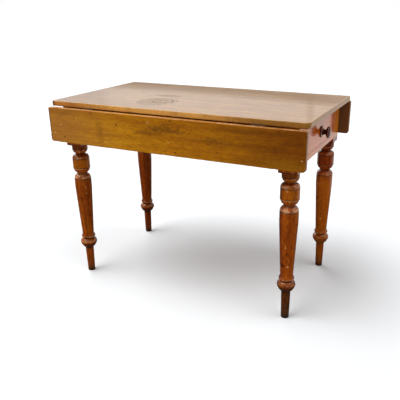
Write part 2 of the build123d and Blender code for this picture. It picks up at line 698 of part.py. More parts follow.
def fly_outline():
    """The bracket's face: full depth at the root, then an ogee up to the tip."""
    root = FLY_PIN_X + FLY_ROOT
    tip_bottom = FLY_TOP - FLY_TIP_DEPTH
    with BuildSketch() as face:
        with BuildLine():
            Polyline((root, FRIEZE_BOTTOM), (FLY_PIN_X, FRIEZE_BOTTOM), (FLY_PIN_X, FLY_TOP),
                     (FLY_TIP_X, FLY_TOP), (FLY_TIP_X, tip_bottom), (FLY_TIP_X - FLY_TIP_ROUND, tip_bottom))
            Spline((root, FRIEZE_BOTTOM), (FLY_TIP_X - FLY_TIP_ROUND, tip_bottom), tangents=[(1, 0), (1, 0)])
        make_face()
    return face.sketch


def fly_bracket():
    thickness = 2 * FLY_RADIUS
    bracket = extrude(upright(FLY_PIN_Y + FLY_RADIUS) * fly_outline(), thickness, dir=INWARDS)
    bracket -= fly_bevel(1)
    for low, high in fly_knuckle_spans(0):
        gap = (low - FLY_CLEARANCE / 2, high + FLY_CLEARANCE / 2)
        bracket -= fly_rod(FLY_RAIL_THICKNESS / 2 + FLY_CLEARANCE, gap)
    for low, high in fly_knuckle_spans(1):
        bracket += fly_rod(FLY_RADIUS, (low + FLY_CLEARANCE / 2, high - FLY_CLEARANCE / 2))
    return bracket - fly_rod(FLY_PIN_RADIUS + FLY_PIN_FIT, (FRIEZE_BOTTOM, FLY_TOP))


def fly_pin():
    return fly_rod(FLY_PIN_RADIUS, (FRIEZE_BOTTOM, FLY_TOP))


# --- Screws and glue blocks ---
def top_screw_list():
    """Screws up through the kickers and the upper drawer rail into the top."""
    one = screw(SCREW_RADIUS, SCREW_HEAD_RADIUS, DRAWER_RAIL_THICKNESS + SCREW_GRIP)
    kicker_y = RAIL_IN_Y - RUNNER_WIDTH / 2
    rail_x = BLOCK_X - DRAWER_RAIL_WIDTH / 2
    places = [(x, side * kicker_y) for side in SIDES.values() for x in (-TOP_SCREW_SPREAD, 0, TOP_SCREW_SPREAD)]
    places += [(rail_x, side * RAIL_SCREW_SPREAD) for side in SIDES.values()]
    return [Pos(x, y, KICKER_BOTTOM) * one for x, y in places]


def fly_rail_screw_list():
    """Screws out through a side rail into its fly rail."""
    one = screw(SCREW_RADIUS, SCREW_HEAD_RADIUS, SIDE_RAIL_THICKNESS + SCREW_GRIP)
    outwards = Plane(origin=(0, RAIL_IN_Y, FRIEZE_MIDDLE), x_dir=(1, 0, 0), z_dir=(0, 1, 0))
    end_x = (FLY_END_X + BLOCK_IN_X) / 2
    return [outwards * (Pos(x, 0, 0) * one) for x in (-end_x, -FLY_SCREW_SPREAD, FLY_SCREW_SPREAD, end_x)]


def glue_blocks():
    """Three-cornered blocks rubbed into the angle between the left end rail and the top."""
    face = Polygon((END_RAIL_IN_X, UNDERSIDE), (END_RAIL_IN_X - GLUE_BLOCK_SIDE, UNDERSIDE),
                   (END_RAIL_IN_X, UNDERSIDE - GLUE_BLOCK_SIDE), align=None)
    blocks = []
    for side in SIDES.values():
        start = side * GLUE_BLOCK_SPREAD + GLUE_BLOCK_LENGTH / 2
        block = extrude(upright(start) * face, GLUE_BLOCK_LENGTH, dir=INWARDS)
        blocks.append(placed(block, end=-1))
    return together(blocks)


# --- The whole table ---
def table_parts():
    parts = {
        "centre_top": centre_top(),
        "left_end_rail": placed(end_rail(), end=-1),
        "lower_drawer_rail": lower_drawer_rail(),
        "upper_drawer_rail": upper_drawer_rail(),
        "drawer_stops": drawer_stops(),
        "glue_blocks": glue_blocks(),
        "top_screws": together(top_screw_list()),
        "drawer_front": drawer_front(),
        "drawer_back": drawer_back(),
        "drawer_bottom": drawer_bottom(),
        "drawer_bottom_nails": together(nail_list()),
        "drawer_knob": drawer_knob(),
    }
    legs = {"left": leg([side_rail_tenon(), end_rail_tenon()]),
            "right": leg([side_rail_tenon(), drawer_rail_tenon(), drawer_rail_lap()])}
    top_plate, leaf_plate = hinge_plate(TOP_PLATE_WIDTH, 0), hinge_plate(LEAF_PLATE_WIDTH, 1)
    side_parts = {"leaf": leaf(), "side_rail": side_rail(), "fly_rail": fly_rail(), "drawer_runner": runner(),
                  "drawer_guide": drawer_guide(), "kicker": kicker(), "drawer_side": drawer_side()}
    bracket = fly_bracket()
    fly_screws, top_hinge_screws = [], []
    for side_name, side in SIDES.items():
        for name, piece in side_parts.items():
            parts[f"{side_name}_{name}"] = placed(piece, side=side)
        fly_screws += [placed(piece, side=side) for piece in fly_rail_screw_list()]
        leaf_screws = []
        for end_name, end in ENDS.items():
            corner = f"{side_name}_{end_name}"
            x = end * HINGE_X
            parts[f"{corner}_leg"] = placed(legs[end_name], end, side)
            parts[f"{corner}_fly_bracket"] = placed(bracket, end, side)
            parts[f"{corner}_fly_pin"] = placed(fly_pin(), end, side)
            parts[f"{corner}_fly_rail_end"] = placed(fly_rail_end(), end, side)
            parts[f"{corner}_hinge_top_plate"] = placed(on_top(top_plate, x), side=side)
            parts[f"{corner}_hinge_leaf_plate"] = placed(on_leaf(leaf_plate, x), side=side)
            parts[f"{corner}_hinge_pin"] = placed(on_top(hinge_pin(), x), side=side)
            top_hinge_screws += [placed(on_top(piece, x), side=side) for piece in plate_screws(TOP_PLATE_WIDTH)]
            leaf_screws += [placed(on_leaf(piece, x), side=side) for piece in plate_screws(LEAF_PLATE_WIDTH)]
        parts[f"{side_name}_leaf_hinge_screws"] = together(leaf_screws)
    parts["fly_rail_screws"] = together(fly_screws)
    parts["top_hinge_screws"] = together(top_hinge_screws)
    return parts


os.makedirs("parts", exist_ok=True)
for part_name, shape in table_parts().items():
    export_step(shape, f"parts/{part_name}.step")
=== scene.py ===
import math
import bmesh
import bpy
from mathutils import Matrix, Vector


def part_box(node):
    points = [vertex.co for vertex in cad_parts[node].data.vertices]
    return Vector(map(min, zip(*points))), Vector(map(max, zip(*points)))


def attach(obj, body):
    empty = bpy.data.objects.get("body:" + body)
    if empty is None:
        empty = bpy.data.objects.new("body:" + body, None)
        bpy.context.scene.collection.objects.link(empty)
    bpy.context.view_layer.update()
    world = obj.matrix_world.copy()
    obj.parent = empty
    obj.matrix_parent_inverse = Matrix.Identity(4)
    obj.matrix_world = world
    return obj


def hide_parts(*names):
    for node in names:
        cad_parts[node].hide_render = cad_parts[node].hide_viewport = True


# The finish of a pembroke table: old polished wood, turned legs, iron hinges and slotted screws.
# Metres, in the table's own frame: X runs along it, Y across it and Z up, from the floor under its middle.
# Colours: a finish's as they look on a screen, 0 to 255, and the studio's as linear light, 0 to 1.

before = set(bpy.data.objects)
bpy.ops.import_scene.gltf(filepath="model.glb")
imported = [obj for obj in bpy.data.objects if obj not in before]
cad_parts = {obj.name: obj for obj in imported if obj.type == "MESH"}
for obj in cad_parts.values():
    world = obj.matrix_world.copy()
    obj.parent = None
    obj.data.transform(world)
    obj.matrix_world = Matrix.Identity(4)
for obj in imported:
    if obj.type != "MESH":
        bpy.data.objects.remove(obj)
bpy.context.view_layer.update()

# --- Camera ---
CAMERA_PLACE = Vector((0.94752, -1.83834, 1.07664))
CAMERA_YAW = math.radians(25.752)
CAMERA_PITCH = math.radians(20.407)
CAMERA_ROLL = math.radians(-0.369)
CAMERA_LENS = 47.845            # millimetres, on a 36 mm wide sensor
CAMERA_SHIFT = (-0.0450, 0.0006)

# --- Studio ---
WHITE = (1.0, 1.0, 1.0, 1.0)
FLOOR_SIZE = 60.0
FLOOR_SEEN = (0.955, 0.980, 1.0, 1.0)    # how pale the floor is to look at
FLOOR_MATT = (0.60, 0.60, 0.60, 1.0)     # how pale it is to the light that it sends on
FLOOR_NEAR = (0.10, 0.085, 0.07, 1.0)    # what polish mirrors of it near the table and in front of it
FLOOR_FAR = (0.71, 0.69, 0.66, 1.0)      # and behind the table, from these distances on
FAR_FROM = (1.2, 1.6)
BEHIND_TABLE = (0.2, 0.5)       # along Y
AMBIENT = 0.125
LAMP_AWAY = 4.0
# Each lamp: its bearing from +Y towards +X, its height and its width, in degrees, and its power.
LAMPS = {"key_lamp": (-127.0, 60.0, 50.0, 2.38),
         "right_lamp": (90.0, 62.0, 45.0, 0.82),
         "back_lamp": (-55.0, 35.0, 45.0, 0.99)}
# What polish mirrors: a pale wall behind the table, and a dimmer room.
WALL_GLOW = (1.0, 0.98, 0.96, 1.0)
SIDE_GLOW = (0.80, 0.80, 0.82, 1.0)
SKIRTING_GLOW = (0.28, 0.29, 0.29, 1.0)
SKIRTING_RIGHT = (0.44, 0.44, 0.43, 1.0)    # where the light falls on it, from these bearings on
RIGHT_FROM = (-17.0, -12.5)
ROOM_GLOW = (0.25, 0.24, 0.23, 1.0)
TO_WALL = (-0.1, 0.15)          # where the room gives way to the wall, by how far a ray goes towards +Y
WALL_FOOT = 9.6                 # degrees above the horizon, at this bearing
FOOT_BEARING = -20.0
FOOT_SLOPE = 0.085              # degrees higher for each degree of bearing to the right
FOOT_BLUR = math.radians(0.35)
WALL_SIDES = (-37.5, 60.0)      # bearings, as for the lamps
WALL_SIDE_BLUR = 0.015          # radians
DOOR_FRAME = -15.8              # the bearing of a thin darker upright on the wall
DOOR_FRAME_HALF = (0.002, 0.010)    # where it begins to fade and where it ends, in radians from its middle
DOOR_FRAME_SHARE = 0.30

# --- Sizes of the turned legs, in millimetres ---
LEG_TOP = 710.0
LEG_HALF = 34.0
BLOCK_CORNER = LEG_HALF * 2 ** 0.5
# Each member from the block down: its length, the radius at its foot, how far it bulges and its rows.
LEG_MEMBERS = (
    (139.0, BLOCK_CORNER, 0.0, 24),     # block
    (15.0, 34.0, 10.3, 8),              # pommel
    (0.0, 31.0, 0.0, 1),                # step under the block
    (19.0, 30.1, 0.0, 8),               # cap
    (0.8, 29.0, 0.0, 1),                # quirk
    (4.2, 28.4, 1.7, 8),                # cap's bead
    (11.0, 19.5, 2.4, 8),               # cap's round
    (5.0, 19.5, -1.0, 6),               # neck
    (14.0, 33.5, 3.2, 9),               # drum's shoulder
    (41.0, 33.5, 0.0, 15),              # drum
    (0.8, 32.4, 0.0, 1),                # quirk
    (4.2, 31.6, 1.7, 8),                # drum's bead
    (15.0, 21.8, 2.2, 9),               # drum's under side
    (7.5, 21.8, -1.0, 7),               # waist
    (17.5, 32.9, 2.9, 9),               # collar's shoulder
    (40.0, 32.9, 0.0, 13),              # collar
    (198.0, 23.1, 0.0, 50),             # shaft
    (10.5, 24.8, -1.0, 7),              # cove
    (7.0, 27.3, 0.9, 7),                # ring
    (2.5, 26.6, 0.4, 4),                # ring's foot
    (0.0, 23.2, 0.0, 1),                # step under the ring
    (6.5, 22.2, -0.6, 5),               # recess
    (18.0, 33.2, 3.2, 12),              # bulb
    (24.5, 17.4, 2.2, 13),              # bulb's under side
    (14.0, 16.4, -0.5, 8),              # top of the ankle
    (93.5, 14.4, 0.0, 26),              # ankle
    (1.5, 12.9, 0.0, 1),                # toe's chamfer
)
LEG_SCRIBES = ((499.0, 33.5), (415.0, 32.9))     # each scribed line's height, and the radius there
SCRIBE_HALF = 1.2
SCRIBE_DEPTH = 0.9
SCRIBE_CLEAR = SCRIBE_HALF * 1.5    # rows nearer to a scribed line than this give way to it

# --- Values for the rules that make pieces ---
TINY = 1e-6                     # what counts as no distance
SHARP_BEND = math.radians(34.0)
# The legs: their sides, the block's half width and its rounded arris, how far the points crowd towards the
# block's corners, and how deep dents are and how many come in a metre.
LEG_VALUES = {"Sides": 128, "Block Half": LEG_HALF / 1000, "Arris": 0.0015, "Crowding": 0.7,
              "Dent Depth": 0.0007, "Dent Scale": 70.0}
LEG_WEAR_STEP = Vector((0.37, 0.21, 0.13))     # moves the pattern of dents from one leg to the next
DENT_SPAN = (0.56, 0.78)        # the noise at which a dent begins and is full
CROWDED_PLACES = 4.0            # one at each corner of the block
LEG_CORE = 0.004                # dents fade out within this distance of the axis
LEG_WELD = 0.00001              # points nearer to each other than this are joined
BOARD_WELD = 0.00002
# The worn boards: how far in from the edge the flat face begins, how deep wear and nicks go, how far apart
# the points are, and the area from which a face is flat.
BOARD_VALUES = {"Inset": 0.0052, "Wear": 0.0007, "Nicks": 0.0024, "Step": 0.0035, "Flat Area": 0.0004}
BOARD_ROWS = 26
BOARD_WEAR_STEP = Vector((0.4, 0.0, 0.2))      # moves the pattern of wear from one board to the next
# The patterns of wear and of nicks: waves in a metre, and the noise at which each begins and is full.
BROAD_WEAR = (17.0, 0.35, 0.70)
EDGE_NICKS = (75.0, 0.58, 0.74)
FULL_WEAR = 0.3                 # how near the side wear is full, as a share of the rounder edge's radius
SIDE_WEAR = 0.25                # the share of it that is left half way up the side
BOARD_SHAVE = 0.00004           # how far the worn shape lies inside the plain one
CORNER_ROWS = 8
BOARD_CORNERS = ("Low Left", "Low Right", "High Left", "High Right")
TOP_CORNERS = (0.006, 0.020, 0.010, 0.006)
LEAF_CORNERS = (0.011, 0.011, 0.0056, 0.0056)
# Each worn board: its body, slot and finish, the turn that lays it in place, its corners' radii, and how
# round the edges of its upper face (or its front one) and of the other are. The corners are the left and the
# right one at the front (or below, on a leaf), then those at the back (or above).
BOARDS = {
    "centre_top": ("table", "top_board", "top", 0.0, TOP_CORNERS, (0.0034, 0.0014)),
    "front_leaf": ("front_leaf", "leaf_board", "leaf", math.pi / 2, LEAF_CORNERS, (0.0042, 0.0015)),
    "back_leaf": ("back_leaf", "leaf_board", "leaf", math.pi / 2, LEAF_CORNERS, (0.0015, 0.0042)),
}
# Each set of screws: its body, the axis that they lie along, the way in along it, and the shank's radius.
SCREW_SETS = {
    "top_screws": ("table", 2, 1.0, 0.0023),
    "fly_rail_screws": ("table", 1, "outwards", 0.0023),
    "top_hinge_screws": ("table", 2, 1.0, 0.0018),
    "front_leaf_hinge_screws": ("front_leaf", 1, -1.0, 0.0018),
    "back_leaf_hinge_screws": ("back_leaf", 1, 1.0, 0.0018),
}
SLOT_SHARE = 0.22               # a slot's width and depth, as a share of the head's radius
SLOT_REACH = 2.4                # its length, likewise
TIP_SHARE = 0.45                # the radius at a screw's tip, as a share of its shank's
HEAD_SIDES = 24
SHANK_SIDES = 16

# --- Where the pieces are ---
TOP_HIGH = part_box("centre_top")[1]
LEAF_LOW, LEAF_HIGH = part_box("front_leaf")
KNOB_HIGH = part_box("drawer_knob")[1]
KNOB_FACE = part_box("drawer_front")[1].x


def srgb(red, green, blue):
    """A colour given as it looks on a screen, 0 to 255, as the shader's linear colour."""
    def linear(value):
        value /= 255
        return value / 12.92 if value <= 0.04045 else ((value + 0.055) / 1.055) ** 2.4
    return linear(red), linear(green), linear(blue), 1.0


# --- Node trees ---
class Nodes:
    """Adds nodes to one tree. Sockets given as inputs, also in a list, are linked; a plain value is set."""

    def __init__(self, tree):
        self.tree = tree

    def add(self, kind, inputs=None, **settings):
        node = self.tree.nodes.new(kind)
        for name, value in settings.items():
            setattr(node, name, value)
        for key, value in (inputs or {}).items():
            self.put(node.inputs[key], value)
        return node

    def put(self, socket, value):
        if isinstance(value, list):
            for source in value:
                self.tree.links.new(source, socket)
        elif isinstance(value, bpy.types.NodeSocket):
            self.tree.links.new(value, socket)
        else:
            socket.default_value = value

    def first(self, kind, inputs=None, **settings):
        """The first output of a new node."""
        return self.add(kind, inputs, **settings).outputs[0]

    def shape(self, kind, inputs=None, **settings):
        """The first output of a new geometry node."""
        return self.first("GeometryNode" + kind, inputs, **settings)

    # Numbers
    def math(self, operation, *values, clamp=False):
        return self.first("ShaderNodeMath", dict(enumerate(values)), operation=operation, use_clamp=clamp)

    def plus(self, first, second):
        return self.math("ADD", first, second)

    def minus(self, first, second):
        return self.math("SUBTRACT", first, second)

    def times(self, first, *others):
        for other in others:
            first = self.math("MULTIPLY", first, other)
        return first

    def over(self, first, second):
        return self.math("DIVIDE", first, second)

    def times_plus(self, value, factor, more, clamp=False):
        return self.math("MULTIPLY_ADD", value, factor, more, clamp=clamp)

    def rise(self, value, low, high, bottom=0.0, top=1.0):
        """Eases from bottom to top as the value goes from low to high."""
        inputs = {"Value": value, "From Min": low, "From Max": high, "To Min": bottom, "To Max": top}
        return self.first("ShaderNodeMapRange", inputs, interpolation_type="SMOOTHSTEP")

    def fall(self, value, low, high):
        """Eases from 1 to 0 as the value goes from low to high."""
        return self.rise(value, low, high, 1.0, 0.0)

    # Vectors
    def vector(self, operation, *values):
        return self.first("ShaderNodeVectorMath", dict(enumerate(values)), operation=operation)

    def scaled(self, position, factors):
        return self.vector("MULTIPLY", position, factors)

    def drawn_out(self, position, share):
        """A position with its X squeezed to this share, so that a pattern on it is drawn out along X."""
        return self.scaled(position, (share, 1.0, 1.0))

    def sized(self, vector, factor):
        return self.first("ShaderNodeVectorMath", {0: vector, "Scale": factor}, operation="SCALE")

    def length(self, vector):
        return self.add("ShaderNodeVectorMath", {0: vector}, operation="LENGTH").outputs["Value"]

    def parts(self, vector):
        return self.add("ShaderNodeSeparateXYZ", {0: vector}).outputs

    def from_parts(self, x=0.0, y=0.0, z=0.0):
        return self.first("ShaderNodeCombineXYZ", {0: x, 1: y, 2: z})

    # Colours and patterns
    def blend(self, share, first, second, mode="MIX"):
        inputs = {"Factor": share, 6: first, 7: second}
        return self.add("ShaderNodeMix", inputs, data_type="RGBA", blend_type=mode).outputs[2]

    def noise(self, position, scale, detail=3.0, roughness=0.55, distortion=0.0, output="Fac"):
        inputs = {"Vector": position, "Scale": scale, "Detail": detail, "Roughness": roughness,
                  "Distortion": distortion}
        return self.add("ShaderNodeTexNoise", inputs).outputs[output]

    def shake(self, position, scale, detail=3.0):
        """A soft chance offset, of up to a half each way along each axis."""
        return self.vector("SUBTRACT", self.noise(position, scale, detail, output="Color"), (0.5, 0.5, 0.5))

    def effect(self, group, inputs):
        return self.add("ShaderNodeGroup", inputs, node_tree=group).outputs


def effect_group(name, inputs, outputs):
    """An empty shader node group: its nodes, what its input node puts out, and what its output node takes."""
    tree = bpy.data.node_groups.new(name, "ShaderNodeTree")
    for label, value in inputs.items():
        kind = "NodeSocketVector" if value is None else "NodeSocketFloat"
        socket = tree.interface.new_socket(label, in_out="INPUT", socket_type=kind)
        if value is not None:
            socket.default_value = value
    for label in outputs:
        tree.interface.new_socket(label, in_out="OUTPUT", socket_type="NodeSocketFloat")
    nodes = Nodes(tree)
    return nodes, nodes.add("NodeGroupInput").outputs, nodes.add("NodeGroupOutput").inputs


# --- Effects that several finishes share ---
PITH = (0.0, 0.061, 0.043)      # how far the middle of the tree lies from the piece, across the grain


def wood_grain():
    """Streaks, year lines, fibres and pores of wood whose grain runs along the position's X."""
    nodes, given, result = effect_group("wood_grain", {
        "Position": None, "Streak Width": 0.012, "Sway": 0.02}, ("Streaks", "Lines", "Fibres", "Pores"))
    place, width = given["Position"], given["Streak Width"]
    sway = nodes.sized(nodes.shake(nodes.drawn_out(place, 0.35), 7.0, detail=2.0), given["Sway"])
    stretched = nodes.drawn_out(nodes.vector("ADD", place, sway), 0.05)
    broad = nodes.noise(stretched, nodes.over(0.6, width), detail=4.0, roughness=0.62)
    nodes.put(result["Streaks"], nodes.rise(broad, 0.34, 0.66))
    from_pith = nodes.length(nodes.scaled(nodes.vector("ADD", stretched, PITH), (0.0, 1.0, 1.0)))
    year = nodes.math("FRACT", nodes.times_plus(broad, 3.0, nodes.over(from_pith, width)))
    line = nodes.times(nodes.rise(year, 0.35, 0.90), nodes.fall(year, 0.92, 1.0))
    here = nodes.rise(nodes.noise(stretched, 21.0, detail=1.0), 0.40, 0.62)
    nodes.put(result["Lines"], nodes.times(line, here))
    fine = nodes.noise(nodes.drawn_out(place, 0.025), 520.0, detail=3.0, roughness=0.6)
    nodes.put(result["Fibres"], nodes.rise(fine, 0.3, 0.7))
    short = nodes.noise(nodes.drawn_out(place, 0.045), 1250.0, detail=1.0)
    nodes.put(result["Pores"], nodes.rise(short, 0.60, 0.72))
    return nodes.tree


# Each kind of patch: how much finer it is than the patina's size, its noise's detail, roughness and
# distortion, and the noise at which it begins and is full.
PATCHES = {"Broad": (1.0, 2.0, 0.5, 0.0, 0.32, 0.68),
           "Narrow": (5.0, 5.0, 0.65, 0.4, 0.34, 0.68),
           "Mottle": (17.0, 5.0, 0.72, 0.6, 0.40, 0.66)}


def patina():
    """Broad and narrow patches that the years have left darker or lighter."""
    nodes, given, result = effect_group("patina", {"Position": None, "Size": 0.20, "Along": 0.45}, PATCHES)
    along = nodes.scaled(given["Position"], nodes.from_parts(given["Along"], 1.0, 1.0))
    scale = nodes.over(1.0, given["Size"])
    for label, (finer, detail, roughness, distortion, low, high) in PATCHES.items():
        noise = nodes.noise(along, nodes.times(scale, finer), detail, roughness, distortion)
        nodes.put(result[label], nodes.rise(noise, low, high))
    return nodes.tree


def closed_in(nodes, reach, low, high, inside=False):
    """A mask of where the piece closes a point in: from outside in its hollows, from inside at its edges."""
    open_share = nodes.add("ShaderNodeAmbientOcclusion", {"Distance": reach}, inside=inside,
                           only_local=True, samples=6).outputs["AO"]
    return nodes.rise(nodes.minus(1.0, open_share), low, high)


def edge_wear():
    """Rubbed edges: a mask that breaks up along them."""
    nodes, given, result = effect_group(
        "edge_wear", {"Position": None, "Reach": 0.004, "Breakup": 0.5}, ("Wear",))
    edge = closed_in(nodes, given["Reach"], 0.15, 0.50, inside=True)
    kept = nodes.rise(nodes.noise(given["Position"], 46.0, detail=5.0, roughness=0.7), 0.42, 0.60)
    share = nodes.minus(1.0, nodes.times(given["Breakup"], kept))
    nodes.put(result["Wear"], nodes.times(edge, share))
    return nodes.tree


def settled_dirt():
    """Old polish and dirt that stay in hollows and corners."""
    nodes, given, result = effect_group("settled_dirt", {"Position": None, "Reach": 0.006}, ("Dirt",))
    hollow = closed_in(nodes, given["Reach"], 0.08, 0.45)
    patchy = nodes.rise(nodes.noise(given["Position"], 60.0, detail=4.0), 0.25, 0.6, 0.65, 1.0)
    nodes.put(result["Dirt"], nodes.times(hollow, patchy))
    return nodes.tree


def knocks():
    """Small dark nicks and pale chips, scattered and drawn out a little along the grain."""
    nodes, given, result = effect_group("knocks", {
        "Position": None, "Spacing": 0.035, "Size": 0.0022, "Amount": 0.3}, ("Nicks", "Chips"))
    ragged = nodes.shake(given["Position"], 330.0, detail=2.0)
    shaken = nodes.vector("MULTIPLY_ADD", ragged, (0.004, 0.004, 0.004), given["Position"])
    place = nodes.drawn_out(shaken, 0.6)
    per_metre = nodes.over(1.0, given["Spacing"])
    for label, seed in (("Nicks", 0.0), ("Chips", 3.7)):
        moved = nodes.vector("ADD", place, (seed, seed, seed))
        cells = nodes.add("ShaderNodeTexVoronoi", {"Vector": moved, "Scale": per_metre}).outputs
        chance = nodes.add("ShaderNodeSeparateColor", {0: cells["Color"]}).outputs
        distance = nodes.times(cells["Distance"], given["Spacing"])
        size = nodes.times(given["Size"], nodes.plus(0.35, chance["Green"]))
        chosen = nodes.math("LESS_THAN", chance["Red"], given["Amount"])
        nodes.put(result[label], nodes.times(nodes.fall(nodes.over(distance, size), 0.45, 1.0), chosen))
    return nodes.tree


def scratches():
    """Fine lines that cross the polish in several directions."""
    nodes, given, result = effect_group("scratches", {"Position": None, "Spacing": 0.05}, ("Lines",))
    per_metre = nodes.over(1.0, given["Spacing"])
    total = 0.0
    for number, angle in enumerate((0.15, 0.9, 2.2)):
        turned = nodes.first("ShaderNodeMapping", {
            "Vector": given["Position"], "Location": (0.31 * number, 0.17 * number, 0.0),
            "Rotation": (0.0, 0.0, angle)})
        from_line = nodes.first("ShaderNodeTexVoronoi", {
            "Vector": nodes.drawn_out(turned, 0.06), "Scale": per_metre}, feature="DISTANCE_TO_EDGE")
        here = nodes.rise(nodes.noise(turned, 24.0, detail=2.0), 0.52, 0.62)
        total = nodes.math("MAXIMUM", total, nodes.times(nodes.fall(from_line, 0.0, 0.012), here))
    nodes.put(result["Lines"], total)
    return nodes.tree


GRAIN = wood_grain()
PATINA = patina()
EDGE_WEAR = edge_wear()
DIRT = settled_dirt()
KNOCKS = knocks()
SCRATCHES = scratches()


# --- Finishes ---
class Finish(Nodes):
    """The nodes of one new material."""

    def __init__(self, name):
        self.material = bpy.data.materials.new(name)
        self.material.use_nodes = True
        super().__init__(self.material.node_tree)
        self.tree.nodes.clear()
        self.place = self.add("ShaderNodeTexCoord").outputs["Object"]

    def surface(self, colour, roughness, height, bump, sheen):
        """Ends the material: the Principled shader with its bump and its other inputs."""
        normal = self.first("ShaderNodeBump", {"Strength": bump, "Distance": 0.001, "Height": height})
        return self.ended(self.first("ShaderNodeBsdfPrincipled", {
            "Base Color": colour, "Roughness": roughness, "Normal": normal, **sheen}))

    def ended(self, shader):
        self.add("ShaderNodeOutputMaterial", {"Surface": shader})
        return self.material


class Wood(Finish):
    """One wood finish in the making: its colour, roughness and height are built up effect by effect."""

    def __init__(self, name, grain, light, dark, streak=0.012, sway=0.02, gloss=0.2, uneven=0.06):
        super().__init__(name)
        axes = self.parts(self.place)
        self.x, self.y, self.z = axes
        order = {"X": "XYZ", "Y": "YXZ", "Z": "ZXY"}[grain]
        self.grain = self.from_parts(*(axes[letter] for letter in order))
        figure = self.effect(GRAIN, {"Position": self.grain, "Streak Width": streak, "Sway": sway})
        self.pores = figure["Pores"]
        tone = self.times(figure["Streaks"], 0.50)
        tone = self.times_plus(figure["Lines"], 0.26, tone)
        tone = self.times_plus(figure["Fibres"], 0.24, tone)
        self.colour = self.blend(tone, srgb(*light), srgb(*dark))
        self.uneven = uneven
        self.roughness = self.times_plus(figure["Fibres"], uneven, gloss)
        self.height = self.times(figure["Fibres"], -0.10)

    def facing(self, axis):
        """How far the surface faces along an axis, from -1 to 1."""
        return self.parts(self.add("ShaderNodeTexCoord").outputs["Normal"])[axis]

    def tint(self, mask, colour, amount=1.0, mode="MIX"):
        self.colour = self.blend(self.times(mask, amount), self.colour, srgb(*colour), mode)

    def shade(self, mask, colour, amount):
        """Darkens by a colour, so that the wood's own figure stays."""
        self.tint(mask, colour, amount, "MULTIPLY")

    def dull(self, mask, amount):
        self.roughness = self.times_plus(mask, amount, self.roughness, clamp=True)

    def raise_by(self, mask, amount):
        self.height = self.times_plus(mask, amount, self.height)

    def age(self, size, warm, deep, broad=0.6, narrow=0.5, mottle=0.4, along=0.45):
        """Patches of a warmer and of a deeper tone; along is how far they are squeezed on the grain."""
        patches = self.effect(PATINA, {"Position": self.grain, "Size": size, "Along": along})
        self.shade(patches["Broad"], warm, broad)
        self.shade(patches["Narrow"], deep, narrow)
        self.shade(patches["Mottle"], deep, mottle)
        self.dull(patches["Mottle"], self.uneven)

    def fleck(self, size, colour, amount):
        """Fine darker flecks, drawn out along the grain."""
        fine = self.noise(self.drawn_out(self.grain, 0.4), 1 / size, detail=3.0, roughness=0.6)
        self.shade(self.rise(fine, 0.42, 0.66), colour, amount)

    def rub(self, reach, colour, amount):
        """Edges rubbed pale."""
        worn = self.effect(EDGE_WEAR, {"Position": self.place, "Reach": reach})["Wear"]
        self.tint(worn, colour, amount)
        self.dull(worn, 0.12)

    def soil(self, reach, colour, amount):
        """Dirt in the hollows."""
        dirt = self.effect(DIRT, {"Position": self.place, "Reach": reach})["Dirt"]
        self.tint(dirt, colour, amount)
        self.dull(dirt, 0.12)

    def knock(self, spacing, size, amount, dark, pale, chips=0.6):
        """Scattered nicks, tinted dark, and chips, tinted pale."""
        marks = self.effect(KNOCKS, {
            "Position": self.grain, "Spacing": spacing, "Size": size, "Amount": amount})
        self.tint(marks["Nicks"], dark, 0.85)
        self.tint(marks["Chips"], pale, chips)
        self.raise_by(marks["Nicks"], -0.8)
        self.raise_by(marks["Chips"], -0.5)

    def scratch(self, spacing, colour, amount, dulling):
        lines = self.effect(SCRATCHES, {"Position": self.grain, "Spacing": spacing})["Lines"]
        self.tint(lines, colour, amount)
        self.dull(lines, dulling)
        self.raise_by(lines, -0.25)

    def open_pores(self, colour, amount):
        self.tint(self.pores, colour, amount)
        self.raise_by(self.pores, -0.30)

    def spot(self, centre, reach, colour, amount, ragged=0.25, core=0.55):
        """One ragged stain or knock that fades from its core; reach is its half size along each axis."""
        away = self.vector("SUBTRACT", self.place, centre)
        shape = self.length(self.scaled(away, tuple(1 / size for size in reach)))
        rough = self.noise(self.place, 0.8 / min(reach), detail=3.0)
        shape = self.times_plus(self.minus(rough, 0.5), 2 * ragged, shape)
        mask = self.fall(shape, core, 1.0)
        self.tint(mask, colour, amount)
        return mask

    def band(self, middle, half, share, along=None):
        """A soft band round a turned piece, at a height or at a distance along its axis."""
        off = self.math("ABSOLUTE", self.minus(along or self.z, middle))
        return self.times(self.fall(off, 0.4 * half, half), share)

    def finished(self, bump=0.35, sheen=()):
        return self.surface(self.colour, self.roughness, self.height, bump, dict(sheen))


# Old wax and polish over stain: a shine that is warm straight on and pale only at a flat angle.
WAX = {"IOR": 1.45, "Specular Tint": (1.0, 0.80, 0.40, 1.0)}
POLISH = {"IOR": 1.46, "Specular Tint": (1.0, 0.76, 0.46, 1.0)}
FRENCH_POLISH = {"IOR": 1.5, "Specular Tint": (1.0, 0.74, 0.46, 1.0), "Coat Weight": 0.16, "Coat IOR": 1.5,
                 "Coat Roughness": 0.05}

# Parts of the top's edge, as stretches of X: greyer to the left, darker brown to the right, and with painted
# shade at its left end.
TOP_GREYER_LEFT = (-0.42, -0.20)
TOP_BROWNER_RIGHT = (0.08, 0.36)
TOP_END_SHADE = (-0.498, -0.491)


